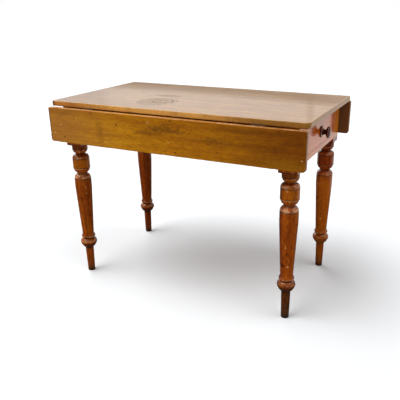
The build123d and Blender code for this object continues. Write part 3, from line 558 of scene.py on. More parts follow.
def top_finish():
    wood = Wood("top_finish", "X", (194, 152, 100), (160, 116, 72), streak=0.014, gloss=0.035, uneven=0.015)
    wood.age(0.26, (240, 226, 210), (214, 200, 188))
    wood.open_pores((80, 46, 22), 0.35)
    cup_rings(wood)
    wood.scratch(0.07, (215, 185, 150), 0.10, 0.05)
    wood.knock(0.045, 0.0016, 0.16, (58, 34, 18), (225, 195, 150), chips=0.25)
    upwards = wood.facing("Z")
    side = wood.fall(wood.math("ABSOLUTE", upwards), 0.35, 0.92)
    wood.tint(side, (252, 190, 98), 0.90)
    wood.shade(wood.times(side, wood.fall(wood.x, *TOP_GREYER_LEFT)), (222, 197, 171), 0.9)
    wood.dull(side, 0.15)
    wood.tint(wood.times(side, wood.rise(wood.x, *TOP_BROWNER_RIGHT)), (142, 92, 26), 0.79)
    patches = wood.rise(wood.noise(wood.grain, 34.0, detail=5.0, roughness=0.7), 0.42, 0.66)
    wood.tint(wood.times(side, patches), (150, 92, 34), 0.38)
    wood.rub(0.0035, (214, 160, 96), 0.40)
    # Painted shade where the edge turns away at the left end.
    wood.tint(wood.times(side, wood.fall(wood.x, *TOP_END_SHADE)), (98, 56, 38), 0.85)
    under = wood.fall(upwards, -0.95, -0.70)
    wood.tint(under, (146, 104, 64), 0.7)
    wood.dull(under, 0.55)
    return wood.finished(0.008, POLISH)


# Rings that wet cups have left on the top, as (middle, radius, half width, strength).
CUP_RINGS = (((-0.130, -0.137), 0.066, 0.0080, 0.70), ((-0.112, -0.132), 0.030, 0.0060, 0.35),
             ((-0.146, -0.142), 0.038, 0.0050, 0.30), ((-0.100, -0.120), 0.046, 0.0060, 0.35))
# The stain inside them and a smudge, as (middle, half size, strength).
CUP_STAINS = (((-0.130, -0.137), (0.070, 0.070, 1.0), 0.26), ((-0.150, -0.010), (0.075, 0.028, 1.0), 0.22))


def cup_rings(wood):
    """Rings, a stain inside them and a smudge that wet cups have left on the top."""
    for middle, reach, strength in CUP_STAINS:
        wood.dull(wood.spot((*middle, TOP_HIGH.z), reach, (96, 72, 52), strength, ragged=0.12), 0.10)
    shaken = wood.vector("MULTIPLY_ADD", wood.shake(wood.place, 30.0), (0.014, 0.014, 0.0), wood.place)
    patchy = wood.rise(wood.noise(wood.place, 48.0), 0.35, 0.55, 0.25, 1.0)
    for middle, radius, width, strength in CUP_RINGS:
        away = wood.length(wood.vector("SUBTRACT", shaken, (*middle, TOP_HIGH.z)))
        off = wood.math("ABSOLUTE", wood.minus(away, radius))
        ring = wood.times(wood.fall(off, 0.0, width), patchy)
        wood.tint(ring, (60, 40, 30), strength)
        wood.dull(ring, 0.2)


# Knocks on the front leaf, as (along, height, half size).
DARK_KNOCKS = (
    (-0.198, 0.667, 0.0040), (-0.308, 0.701, 0.0035), (0.026, 0.700, 0.0045), (-0.045, 0.664, 0.0030),
    (0.019, 0.630, 0.0030), (0.043, 0.592, 0.0035), (-0.441, 0.600, 0.0040), (-0.389, 0.674, 0.0030),
    (-0.112, 0.654, 0.0025), (0.205, 0.611, 0.0028))
PALE_KNOCKS = (
    (-0.064, 0.688, 0.0045), (0.018, 0.624, 0.0030), (-0.455, 0.646, 0.0045), (0.495, 0.615, 0.0035),
    (-0.485, 0.612, 0.0045), (-0.380, 0.677, 0.0030), (-0.250, 0.598, 0.0025))
# How the knocks of each kind are drawn out along and up, their colour and their strength.
KNOCK_KINDS = ((DARK_KNOCKS, 1.2, 0.9, (48, 24, 8), 0.85), (PALE_KNOCKS, 1.15, 0.7, (244, 204, 130), 0.6))

# Stains on it: (along, height), (half length, half height), colour, strength, raggedness and core.
SMUDGE = (100, 58, 16)
LEAF_STAINS = (
    ((0.006, 0.668), (0.120, 0.022), SMUDGE, 0.60, 0.9, 0.1),
    ((-0.070, 0.650), (0.080, 0.016), SMUDGE, 0.45, 0.9, 0.1),
    ((0.190, 0.648), (0.090, 0.018), SMUDGE, 0.40, 0.9, 0.1),
    ((-0.270, 0.630), (0.020, 0.070), SMUDGE, 0.30, 0.9, 0.1),
    ((0.300, 0.690), (0.160, 0.014), SMUDGE, 0.32, 0.9, 0.1),
    ((-0.430, 0.690), (0.060, 0.016), SMUDGE, 0.22, 0.9, 0.1),
    ((0.027, 0.591), (0.022, 0.010), (222, 124, 30), 0.5, 0.6, 0.1),
    ((0.440, 0.592), (0.150, 0.034), (196, 140, 16), 0.26, 0.5, 0.0),
)
STAIN_DEPTH = 0.008             # how far a stain or knock reaches into the leaf
# Stretches of X over which the leaf's colour changes, and the heights below its upper edge between which the
# top shades it.
LEAF_PINKER_LEFT = (-0.50, -0.10)
LEAF_MIDDLE = (-0.20, 0.10)
LEAF_GREENER = (0.02, 0.50)
LEAF_END_SHADE = (-0.505, -0.499)
LEAF_SHADE = (0.045, 0.012)


def leaf_finish():
    wood = Wood("leaf_finish", "X", (255, 184, 22), (210, 138, 7), streak=0.013)
    wood.age(0.15, (228, 208, 180), (196, 172, 140), 0.6, 0.40, 0.35, along=0.22)
    wood.fleck(0.006, (204, 186, 150), 0.45)
    wood.open_pores((84, 46, 12), 0.30)
    wood.tint(wood.fall(wood.x, *LEAF_PINKER_LEFT), (180, 116, 60), 0.55)
    wood.shade(wood.rise(wood.x, *LEAF_MIDDLE), (224, 206, 130), 0.9)
    wood.shade(wood.rise(wood.x, *LEAF_GREENER), (182, 158, 18), 0.95)
    wood.shade(wood.rise(wood.z, *(LEAF_HIGH.z - below for below in LEAF_SHADE)), (206, 178, 140), 0.35)
    chipped = wood.rise(wood.noise(wood.grain, 30.0, detail=5.0, roughness=0.7), 0.40, 0.60, 1.0, 0.3)
    wood.tint(wood.times(wood.rise(wood.facing("Z"), 0.25, 0.75), chipped), (212, 152, 96), 0.86)
    outwards = wood.times(wood.facing("Y"), wood.math("SIGN", wood.y))
    inner_face = wood.fall(outwards, -0.9, -0.6)
    wood.tint(inner_face, (124, 84, 52), 0.75)
    wood.dull(inner_face, 0.2)
    for (along, height), (half_length, half_height), *look in LEAF_STAINS:
        wood.spot((along, LEAF_LOW.y, height), (half_length, STAIN_DEPTH, half_height), *look)
    for places, wide, tall, *look in KNOCK_KINDS:
        for along, height, size in places:
            wood.spot((along, LEAF_LOW.y, height), (size * wide, STAIN_DEPTH, size * tall), *look)
    wood.knock(0.034, 0.0020, 0.30, (70, 36, 10), (214, 158, 84), chips=0.4)
    wood.rub(0.0045, (204, 148, 84), 0.6)
    # Painted shade where the leaf's left end turns away.
    wood.tint(wood.fall(wood.x, *LEAF_END_SHADE), (88, 52, 30), 0.7)
    return wood.finished(sheen=WAX)


# Where a leg is rubbed pale and has painted highlights, and where old polish and dirt stay dark and painted
# shade lies in its hollows: (height, half width, strength).
LEG_WEAR_AND_HIGHLIGHTS = (
    (0.5345, 0.0026, 0.80), (0.5055, 0.0055, 0.62), (0.4585, 0.0026, 0.75), (0.4225, 0.0065, 0.72),
    (0.434, 0.007, 0.40), (0.1600, 0.0024, 0.90), (0.1405, 0.0042, 0.50))
# Painted shade under the block, in the necks and recesses and under the bulb; old polish and dirt in the
# scribed lines and quirks.
LEG_DIRT_AND_SHADE = (
    (0.545, 0.014, 0.35), (0.120, 0.015, 0.78), (0.556, 0.003, 0.70), (0.5185, 0.004, 0.45),
    (0.499, 0.0018, 0.85), (0.5375, 0.0010, 0.8), (0.4615, 0.0014, 0.85), (0.437, 0.005, 0.45),
    (0.415, 0.0020, 0.85), (0.168, 0.0018, 0.45), (0.1550, 0.0042, 0.75), (0.109, 0.007, 0.65))
# Single marks on the legs: middle, half size, colour and strength.
LEG_MARKS = (
    ((0.4275, -0.2495, 0.2165), (0.013, 0.010, 0.011), (34, 14, 8), 0.85),
    ((0.4475, -0.2500, 0.2140), (0.005, 0.006, 0.004), (244, 190, 136), 0.85),
    ((0.442, -0.253, 0.262), (0.009, 0.006, 0.012), (70, 34, 14), 0.5),
    ((0.433, -0.252, 0.245), (0.006, 0.006, 0.009), (60, 26, 12), 0.5),
    ((0.450, -0.252, 0.240), (0.003, 0.006, 0.004), (236, 176, 112), 0.7),
    ((0.439, -0.254, 0.288), (0.003, 0.006, 0.006), (236, 176, 112), 0.7),
    ((0.434, -0.254, 0.320), (0.003, 0.006, 0.004), (60, 26, 12), 0.7),
    ((-0.435, -0.260, 0.470), (0.004, 0.006, 0.005), (30, 12, 8), 0.9),
    ((-0.430, -0.256, 0.330), (0.006, 0.006, 0.030), (70, 30, 12), 0.5),
    ((0.420, 0.203, 0.318), (0.007, 0.010, 0.007), (34, 14, 8), 0.85),
)
# The soft change from the left legs to the right ones, along X, and from the front to the back, along Y.
LEFT_TO_RIGHT = (-0.2, 0.2)
FRONT_TO_BACK = (-0.1, 0.1)
# Parts of the legs: (height, half width) of a band, or the heights between which a colour comes or goes.
GOLDEN_BAND = (0.479, 0.026)
DARKER_BULB_BAND = (0.134, 0.030)
BEHIND_HIGH = (0.40, 0.44)
BEHIND_LOW = (0.38, 0.42)
# Heights below which the right legs' feet get painted shade.
FOOT_SHADE = (0.09, 0.158)
# Heights from which painted light brightens the legs' square blocks.
BLOCK_LIGHT = (0.572, 0.580)
SCUFFED_FOOT = (0.008, 0.075)
DIRTY_TOE = (0.004, 0.024)


def leg_finish():
    wood = Wood("leg_finish", "Z", (217, 112, 3), (135, 58, 0), streak=0.008, sway=0.014, gloss=0.09)
    wood.age(0.08, (232, 206, 180), (200, 170, 150))
    wood.fleck(0.006, (160, 130, 104), 0.55)
    wood.open_pores((64, 26, 8), 0.35)
    wood.knock(0.018, 0.0027, 0.45, (44, 18, 8), (240, 184, 120), chips=0.7)
    wood.rub(0.0045, (206, 132, 84), 0.5)
    broken = wood.rise(wood.noise(wood.place, 52.0, detail=5.0), 0.40, 0.58, 0.10, 1.0)
    # Pale bands on the crowns and beads: partly rubbed wear, partly painted highlight.
    for height, half, strength in LEG_WEAR_AND_HIGHLIGHTS:
        wood.tint(wood.band(height, half, broken), (240, 178, 130), strength)
    # Dark bands: painted shade in the hollows and under the members, and dirt in the scribed lines.
    for height, half, strength in LEG_DIRT_AND_SHADE:
        wood.tint(wood.band(height, half, 1.0), (30, 10, 5), strength)
    left, right = wood.fall(wood.x, *LEFT_TO_RIGHT), wood.rise(wood.x, *LEFT_TO_RIGHT)
    front, back = wood.fall(wood.y, *FRONT_TO_BACK), wood.rise(wood.y, *FRONT_TO_BACK)
    # Darker round the bulbs of the right legs.
    wood.tint(wood.band(*DARKER_BULB_BAND, right), (70, 26, 16), 0.33)
    wood.soil(0.0060, (44, 16, 8), 0.80)
    golden = wood.times(wood.band(*GOLDEN_BAND, 0.28), wood.rise(wood.x, *LEFT_TO_RIGHT, 1.0, 0.6), front)
    wood.tint(golden, (238, 146, 10))
    # Painted shade on the sides of the legs that face in under the table, most on the right legs.
    inner_side_shade = wood.fall(wood.times(wood.facing("X"), wood.math("SIGN", wood.x)), -0.9, -0.1)
    inner_side_shade = wood.times(inner_side_shade, wood.rise(wood.x, *LEFT_TO_RIGHT, 0.3, 1.0))
    wood.shade(inner_side_shade, (160, 132, 110), 0.75)
    # Painted shade on the back-left leg, which stands in the table's shade.
    wood.shade(wood.times(left, back), (196, 160, 130), 0.62)
    # On the back-right leg: painted shade on its upper part, under the table, and a more orange tone below.
    behind = wood.times(right, back)
    wood.shade(wood.times(behind, wood.rise(wood.z, *BEHIND_HIGH)), (214, 168, 150), 0.9)
    wood.tint(wood.times(behind, wood.fall(wood.z, *BEHIND_LOW)), (238, 126, 6), 0.25)
    # Painted shade over the ankles and lower bulbs of the right legs, most on the front-right one, broken up
    # a little.
    foot_shade = wood.times(right, wood.fall(wood.z, *FOOT_SHADE),
                           wood.rise(wood.y, *FRONT_TO_BACK, 1.0, 0.22), wood.times_plus(broken, -0.24, 1.0))
    wood.tint(foot_shade, (58, 31, 18), 0.96)
    # Painted light: the square blocks tinted bright orange.
    wood.tint(wood.rise(wood.z, *BLOCK_LIGHT), (250, 144, 36), 0.72)
    scuffed = wood.fall(wood.z, *SCUFFED_FOOT)
    wood.tint(scuffed, (84, 52, 22), 0.42)
    wood.tint(wood.fall(wood.z, *DIRTY_TOE), (44, 34, 22), 0.75)
    wood.dull(scuffed, 0.25)
    wood.knock(0.011, 0.0013, 0.25, (40, 20, 12), (196, 160, 118), chips=0.35)
    for mark in LEG_MARKS:
        wood.spot(*mark, ragged=0.5, core=0.25)
    return wood.finished(sheen=FRENCH_POLISH)


def show_finish():
    wood = Wood("end_finish", "Y", (250, 130, 36), (216, 94, 20), streak=0.010, gloss=0.13)
    wood.age(0.12, (236, 214, 196), (222, 200, 188))
    wood.open_pores((96, 40, 14), 0.3)
    wood.rub(0.0035, (214, 140, 90), 0.5)
    wood.soil(0.0030, (110, 60, 34), 0.2)
    return wood.finished(0.08, {**FRENCH_POLISH, "Coat Weight": 0.30})


# Rims of the knob, rubbed pale and with painted highlights, as (distance along the table, half width,
# strength).
KNOB_WEAR_AND_HIGHLIGHTS = ((KNOB_HIGH.x - 0.0062, 0.0014, 0.55), (KNOB_HIGH.x - 0.0005, 0.0010, 0.5),
             (KNOB_FACE + 0.0050, 0.0014, 0.6))


def knob_finish():
    wood = Wood("knob_finish", "X", (64, 22, 14), (34, 10, 7), streak=0.006, gloss=0.08)
    # Pale rims: partly rubbed wear, partly painted highlight.
    for rim in KNOB_WEAR_AND_HIGHLIGHTS:
        wood.tint(wood.band(*rim, wood.x), (226, 160, 140), 0.8)
    wood.soil(0.0050, (20, 8, 6), 0.9)
    return wood.finished(0.1, {"IOR": 1.45, "Specular Tint": (1.0, 0.42, 0.34, 1.0)})


def rail_finish():
    wood = Wood("rail_finish", "X", (150, 104, 62), (112, 72, 40), streak=0.016, gloss=0.5)
    wood.age(0.18, (225, 212, 198), (205, 192, 180))
    wood.open_pores((70, 44, 24), 0.4)
    wood.rub(0.0030, (178, 134, 92), 0.4)
    wood.soil(0.0050, (44, 28, 18), 0.8)
    return wood.finished(0.5)


def pine_finish(name, grain):
    wood = Wood(name, grain, (206, 168, 112), (168, 118, 66), streak=0.010, gloss=0.55)
    wood.age(0.15, (232, 220, 206), (212, 202, 190))
    wood.knock(0.06, 0.004, 0.3, (92, 54, 28), (214, 182, 132))
    wood.soil(0.0050, (84, 58, 36), 0.7)
    return wood.finished(0.6)


def iron_finish():
    iron = Finish("iron_finish")
    rust = iron.rise(iron.noise(iron.place, 140.0, detail=6.0, roughness=0.7), 0.45, 0.62)
    pits = iron.noise(iron.place, 900.0, detail=2.0)
    worn = iron.effect(EDGE_WEAR, {"Position": iron.place, "Reach": 0.0012, "Breakup": 0.4})["Wear"]
    colour = iron.blend(rust, srgb(40, 28, 20), srgb(54, 32, 20))
    colour = iron.blend(worn, colour, srgb(116, 104, 92))
    return iron.surface(colour, iron.times_plus(rust, 0.25, 0.55), pits, 0.4, {
        "Metallic": iron.rise(rust, 0.0, 1.0, 0.3, 0.0), "Specular Tint": (1.0, 0.78, 0.60, 1.0)})


def screw_finish():
    steel = Finish("steel_finish")
    stain = steel.rise(steel.noise(steel.place, 260.0, detail=4.0), 0.4, 0.65)
    colour = steel.blend(stain, srgb(150, 146, 138), srgb(92, 74, 58))
    return steel.surface(colour, steel.times_plus(stain, 0.3, 0.32), stain, 0.2, {
        "Metallic": steel.rise(stain, 0.0, 1.0, 1.0, 0.6)})


FINISHES = {
    "top": top_finish(),
    "leaf": leaf_finish(),
    "leg": leg_finish(),
    "show": show_finish(),
    "knob": knob_finish(),
    "rail": rail_finish(),
    "pine_long": pine_finish("pine_along", "X"),
    "pine_cross": pine_finish("pine_across", "Y"),
    "iron": iron_finish(),
    "steel": screw_finish(),
}

# The endings of the names of the nodes that take each finish; the others are pine, cut along the table.
ENDINGS = {
    "top": ("centre_top",),
    "leaf": ("_leaf",),
    "leg": ("_leg",),
    "show": ("drawer_front", "drawer_rail", "left_end_rail"),
    "knob": ("knob",),
    "steel": ("_screws", "_nails"),
    "iron": ("_plate", "_pin"),
    "rail": ("_bracket", "fly_rail", "fly_rail_end", "side_rail"),
    "pine_cross": ("drawer_back", "drawer_bottom", "stops", "glue_blocks"),
}


def finish_nodes():
    for name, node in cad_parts.items():
        finish = next((kind for kind, endings in ENDINGS.items() if name.endswith(endings)), "pine_long")
        node.data.materials.clear()
        node.data.materials.append(FINISHES[finish])


# --- Pieces made by rule ---
def piece_tree(name, sizes, vectors=(), counts=()):
    """An empty geometry node tree with inputs by these names: its nodes, and what its input node puts out."""
    tree = bpy.data.node_groups.new(name, "GeometryNodeTree")
    tree.interface.new_socket("Geometry", in_out="OUTPUT", socket_type="NodeSocketGeometry")
    kinds = {"Geometry": ("Geometry",), "Float": sizes, "Vector": vectors, "Int": counts,
             "Material": ("Material",)}
    for kind, labels in kinds.items():
        for label in labels:
            tree.interface.new_socket(label, in_out="INPUT", socket_type="NodeSocket" + kind)
    nodes = Nodes(tree)
    return nodes, nodes.add("NodeGroupInput").outputs


def ended(nodes, mesh, given):
    """Ends a tree: instances made real, the material set, and the result put out."""
    real = nodes.shape("RealizeInstances", {"Geometry": mesh})
    dressed = nodes.shape("SetMaterial", {"Geometry": real, "Material": given["Material"]})
    nodes.add("NodeGroupOutput", {"Geometry": dressed})
    return nodes.tree


def made_by(tree, start, values, name):
    """The plain mesh that a tree makes from a starting mesh, as an object at the origin."""
    carrier = bpy.data.objects.new(name + "_start", start)
    bpy.context.scene.collection.objects.link(carrier)
    modifier = carrier.modifiers.new("rule", "NODES")
    modifier.node_group = tree
    for item in tree.interface.items_tree:
        if item.name in values:
            modifier[item.identifier] = values[item.name]
    bpy.context.view_layer.update()
    graph = bpy.context.evaluated_depsgraph_get()
    mesh = bpy.data.meshes.new_from_object(carrier.evaluated_get(graph), depsgraph=graph)
    carrier.modifiers.remove(modifier)
    bpy.data.objects.remove(carrier)
    mesh.name = name
    finish = mesh.materials[-1]
    mesh.materials.clear()
    mesh.materials.append(finish)
    mesh.polygons.foreach_set("material_index", [0] * len(mesh.polygons))
    piece = bpy.data.objects.new(name, mesh)
    bpy.context.scene.collection.objects.link(piece)
    return piece


def sharp_where_bent(nodes, mesh):
    """Smooth shading, with the edges that bend more than the sharp angle kept sharp."""
    smooth = nodes.shape("SetShadeSmooth", {"Geometry": mesh, "Shade Smooth": True})
    bend = nodes.add("GeometryNodeInputMeshEdgeAngle").outputs["Unsigned Angle"]
    bent = nodes.first("FunctionNodeCompare", {0: bend, 1: SHARP_BEND}, data_type="FLOAT",
                       operation="GREATER_THAN")
    return nodes.shape("SetShadeSmooth", {"Geometry": smooth, "Selection": bent, "Shade Smooth": False},
                       domain="EDGE")


def welded(nodes, mesh, distance):
    return nodes.shape("MergeByDistance", {"Geometry": mesh, "Distance": distance})


def rounded(nodes, place, low, high, radius):
    """Draws a place in until it is no more than the radius outside the box between two corners."""
    inner = nodes.vector("MINIMUM", nodes.vector("MAXIMUM", place, low), high)
    beyond = nodes.vector("SUBTRACT", place, inner)
    share = nodes.over(radius, nodes.math("MAXIMUM", nodes.length(beyond), TINY))
    return nodes.vector("ADD", inner, nodes.sized(beyond, nodes.math("MINIMUM", share, 1.0)))


# --- Legs ---
def turned_line():
    """The leg's outline from the top down, as (radius, height) in millimetres."""
    height = LEG_TOP
    line = [(0.0, height), (BLOCK_CORNER, height)]
    for length, radius, bulge, rows in LEG_MEMBERS:
        start = Vector(line[-1])
        run = Vector((radius, height - length)) - start
        outwards = Vector((-run.y, run.x)).normalized()
        for row in range(1, rows + 1):
            share = row / rows
            line.append(tuple(start + run * share + outwards * 4 * share * (1 - share) * bulge))
        height -= length
    for scribe, radius in LEG_SCRIBES:
        line = [point for point in line if abs(point[1] - scribe) > SCRIBE_CLEAR]
        place = next(number for number, point in enumerate(line) if point[1] < scribe)
        line[place:place] = [(radius, scribe + SCRIBE_HALF), (radius - SCRIBE_DEPTH, scribe),
                             (radius, scribe - SCRIBE_HALF)]
    return line + [(0.0, height)]


def turned_leg_tree():
    """Turns an outline about an upright axis, squares its block, and gives it the dents of use."""
    nodes, given = piece_tree("turned_leg", ("Block Half", "Arris", "Crowding", "Dent Depth", "Dent Scale"),
                              vectors=("Axis", "Wear Offset"), counts=("Sides",))
    outline = given["Geometry"]
    rows = nodes.add("GeometryNodeAttributeDomainSize", {"Geometry": outline}).outputs["Point Count"]
    columns = nodes.plus(given["Sides"], 1.0)
    grid = nodes.shape("MeshGrid", {"Vertices X": rows, "Vertices Y": columns})
    index = nodes.shape("InputIndex")
    row = nodes.math("FLOOR", nodes.over(nodes.plus(index, 0.5), columns))
    column = nodes.minus(index, nodes.times(row, columns))
    point = nodes.shape("SampleIndex", {
        "Geometry": outline, "Index": row, "Value": nodes.shape("InputPosition")}, data_type="FLOAT_VECTOR")
    across, _, height = nodes.parts(point)
    even = nodes.over(nodes.times(column, math.tau), given["Sides"])
    crowd = nodes.times(nodes.math("SINE", nodes.times(even, CROWDED_PLACES)), given["Crowding"])
    angle = nodes.plus(even, nodes.over(crowd, CROWDED_PLACES))
    turned = nodes.from_parts(nodes.times(across, nodes.math("COSINE", angle)),
                              nodes.times(across, nodes.math("SINE", angle)))
    flat = nodes.minus(given["Block Half"], given["Arris"])
    corner = nodes.from_parts(flat, flat)
    squared = rounded(nodes, turned, nodes.scaled(corner, (-1.0, -1.0, 0.0)), corner, given["Arris"])
    upright = nodes.from_parts(z=height)
    chance = nodes.vector("ADD", nodes.vector("ADD", squared, upright), given["Wear Offset"])
    dents = nodes.rise(nodes.noise(chance, given["Dent Scale"], detail=2.0), *DENT_SPAN)
    radius = nodes.math("MAXIMUM", nodes.length(squared), LEG_CORE)
    kept = nodes.minus(1.0, nodes.over(nodes.times(dents, given["Dent Depth"]), radius))
    place = nodes.vector("ADD", nodes.vector("ADD", nodes.sized(squared, kept), upright), given["Axis"])
    placed = nodes.shape("SetPosition", {"Geometry": grid, "Position": place})
    return ended(nodes, sharp_where_bent(nodes, welded(nodes, placed, LEG_WELD)), given)


def make_legs():
    tree = turned_leg_tree()
    outline = [(radius / 1000, 0.0, height / 1000) for radius, height in turned_line()]
    start = bpy.data.meshes.new("leg_outline")
    start.from_pydata(outline, [(number, number + 1) for number in range(len(outline) - 1)], [])
    for number, name in enumerate(("front_left", "front_right", "back_left", "back_right")):
        low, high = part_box(name + "_leg")
        values = {**LEG_VALUES, "Axis": ((low.x + high.x) / 2, (low.y + high.y) / 2, 0.0),
                  "Wear Offset": tuple(LEG_WEAR_STEP * number), "Material": FINISHES["leg"]}
        leg = made_by(tree, start, values, name + "_turned_leg")
        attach(leg, "table")
        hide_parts(name + "_leg")


# --- Worn boards ---
def edge_profile(nodes, given, half):
    """The line round the edge, from the under face to the upper one: X runs out from the side, Y up."""
    inset, thickness = given["Inset"], given["Thickness"]
    line = nodes.shape("MeshLine", {"Count": BOARD_ROWS})
    step = nodes.over(nodes.times_plus(inset, 2.0, thickness), BOARD_ROWS - 1.0)
    along = nodes.times(nodes.shape("InputIndex"), step)
    under = nodes.minus(inset, along)
    upper = nodes.minus(along, nodes.plus(inset, thickness))
    inwards = nodes.math("MAXIMUM", nodes.math("MAXIMUM", under, upper), 0.0)
    height = nodes.minus(along, nodes.plus(inset, half))
    height = nodes.math("MINIMUM", nodes.math("MAXIMUM", height, nodes.times(half, -1.0)), half)
    lower = nodes.math("LESS_THAN", height, 0.0)
    radius = nodes.times_plus(lower, nodes.minus(given["Under Edge"], given["Edge"]), given["Edge"])
    straight = nodes.minus(half, radius)
    place = rounded(nodes, nodes.from_parts(nodes.times(inwards, -1.0), height),
                    nodes.from_parts(-1.0, nodes.times(straight, -1.0)),
                    nodes.from_parts(nodes.times(radius, -1.0), straight), radius)
    placed = nodes.shape("SetPosition", {"Geometry": line, "Position": place})
    return nodes.shape("MeshToCurve", {"Mesh": placed})


def flat_face(nodes, rim, half, upper):
    """The flat face that closes one side of the rim."""
    lone = nodes.math("LESS_THAN", nodes.shape("InputMeshEdgeNeighbors"), 1.5)
    height = nodes.parts(nodes.shape("InputPosition"))["Z"]
    side = nodes.math("GREATER_THAN" if upper else "LESS_THAN", height, 0.0)
    loop = nodes.shape("MeshToCurve", {"Mesh": rim, "Selection": nodes.times(lone, side)})
    face = nodes.shape("FillCurve", {"Curve": loop}, mode="NGONS")
    lift = nodes.from_parts(z=nodes.times(half, 1.0 if upper else -1.0))
    moved = nodes.shape("Transform", {"Geometry": face, "Translation": lift})
    return moved if upper else nodes.shape("FlipFaces", {"Mesh": moved})


def either(nodes, chosen, plain, other):
    """The other number where it is chosen, and the plain one elsewhere."""
    return nodes.shape("Switch", {"Switch": chosen, "False": plain, "True": other}, input_type="FLOAT")


def worn_board_tree():
    """Keeps of a plain board what lies inside a board of its size with rounded, worn and nicked edges."""
    nodes, given = piece_tree(
        "worn_board", ("Length", "Width", "Thickness", *BOARD_CORNERS, "Edge", "Under Edge", *BOARD_VALUES),
        vectors=("Turn", "Place", "Chance"))
    half = nodes.over(given["Thickness"], 2.0)
    plan = nodes.shape("CurvePrimitiveQuadrilateral", {"Width": given["Length"], "Height": given["Width"]})
    here = nodes.parts(nodes.shape("InputPosition"))
    right, high = (nodes.math("GREATER_THAN", here[axis], 0.0) for axis in "XY")
    rows = (either(nodes, right, given[row + " Left"], given[row + " Right"]) for row in ("Low", "High"))
    corner = either(nodes, high, *rows)
    plan = nodes.shape("FilletCurve", {"Curve": plan, "Count": CORNER_ROWS, "Radius": corner}, mode="POLY")
    plan = nodes.shape("ResampleCurve", {"Curve": plan, "Length": given["Step"]}, mode="LENGTH")
    plan = nodes.shape("SetCurveNormal", {"Curve": plan}, mode="Z_UP")
    rim = nodes.shape("CurveToMesh", {"Curve": plan, "Profile Curve": edge_profile(nodes, given, half)})
    faces = [flat_face(nodes, rim, half, upper) for upper in (True, False)]
    board = welded(nodes, nodes.shape("JoinGeometry", {"Geometry": [rim, *faces]}), BOARD_WELD)
    place = nodes.shape("InputPosition")
    size = nodes.from_parts(given["Length"], given["Width"], given["Thickness"])
    inside = nodes.vector("SUBTRACT", nodes.scaled(size, (0.5, 0.5, 0.5)), nodes.vector("ABSOLUTE", place))
    gap_x, gap_y, gap_z = nodes.parts(inside)
    rounder = nodes.math("MAXIMUM", given["Edge"], given["Under Edge"])
    rim_share = nodes.fall(nodes.math("MINIMUM", gap_x, gap_y), nodes.times(rounder, FULL_WEAR), rounder)
    edge_share = nodes.rise(gap_z, 0.0, rounder, 1.0, SIDE_WEAR)
    chance = nodes.vector("ADD", place, given["Chance"])
    broad, nicks = (nodes.rise(nodes.noise(chance, scale, detail=2.0), *span)
                    for scale, *span in (BROAD_WEAR, EDGE_NICKS))
    deep = nodes.times_plus(broad, given["Wear"], nodes.times(nicks, given["Nicks"]))
    deep = nodes.times(deep, rim_share, edge_share)
    inwards = nodes.sized(nodes.shape("InputNormal"), nodes.times(deep, -1.0))
    worn = nodes.shape("SetPosition", {"Geometry": board, "Offset": inwards})
    laid = nodes.shape("Transform", {"Geometry": worn, "Translation": given["Place"],
                                     "Rotation": given["Turn"]})
    plain = welded(nodes, given["Geometry"], TINY)
    kept = nodes.shape("MeshBoolean", {"Mesh 2": [plain, laid]}, operation="INTERSECT", solver="EXACT")
    wide = nodes.math("GREATER_THAN", nodes.shape("InputMeshFaceArea"), given["Flat Area"])
    flat = nodes.shape("SetShadeSmooth", {"Geometry": sharp_where_bent(nodes, kept), "Selection": wide,
                                          "Shade Smooth": False})
    return ended(nodes, flat, given)


def make_boards():
    tree = worn_board_tree()
    for number, (name, (body, slot, finish, turn, corners, edges)) in enumerate(BOARDS.items()):
        low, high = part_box(name)
        size = high - low - Vector((1.0, 1.0, 1.0)) * 2 * BOARD_SHAVE
        width, thickness = (size.z, size.y) if turn else (size.y, size.z)
        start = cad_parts[name].data.copy()
        start.materials.clear()
        values = {**BOARD_VALUES, **dict(zip(BOARD_CORNERS, corners)), "Length": size.x, "Width": width,
                  "Thickness": thickness, "Edge": edges[0], "Under Edge": edges[1], "Turn": (turn, 0.0, 0.0),
                  "Place": tuple((low + high) / 2), "Chance": tuple(BOARD_WEAR_STEP * number),
                  "Material": FINISHES[finish]}
        board = made_by(tree, start, values, "worn_" + name)
        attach(board, body)
        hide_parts(name)


# --- Screws ---
def solids_of(node):
    """The (lowest, highest) corners of each separate solid in a CAD node."""
    loose = bmesh.new()
    loose.from_mesh(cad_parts[node].data)
    bmesh.ops.remove_doubles(loose, verts=loose.verts, dist=TINY)
    boxes, seen = [], set()
    for first in loose.verts:
        if first in seen:
            continue
        seen.add(first)
        island, waiting = [], [first]
        while waiting:
            vertex = waiting.pop()
            island.append(vertex.co.copy())
            others = {edge.other_vert(vertex) for edge in vertex.link_edges} - seen
            seen |= others
            waiting += others
        boxes.append([Vector(pick(along) for along in zip(*island)) for pick in (min, max)])
    loose.free()
    return boxes


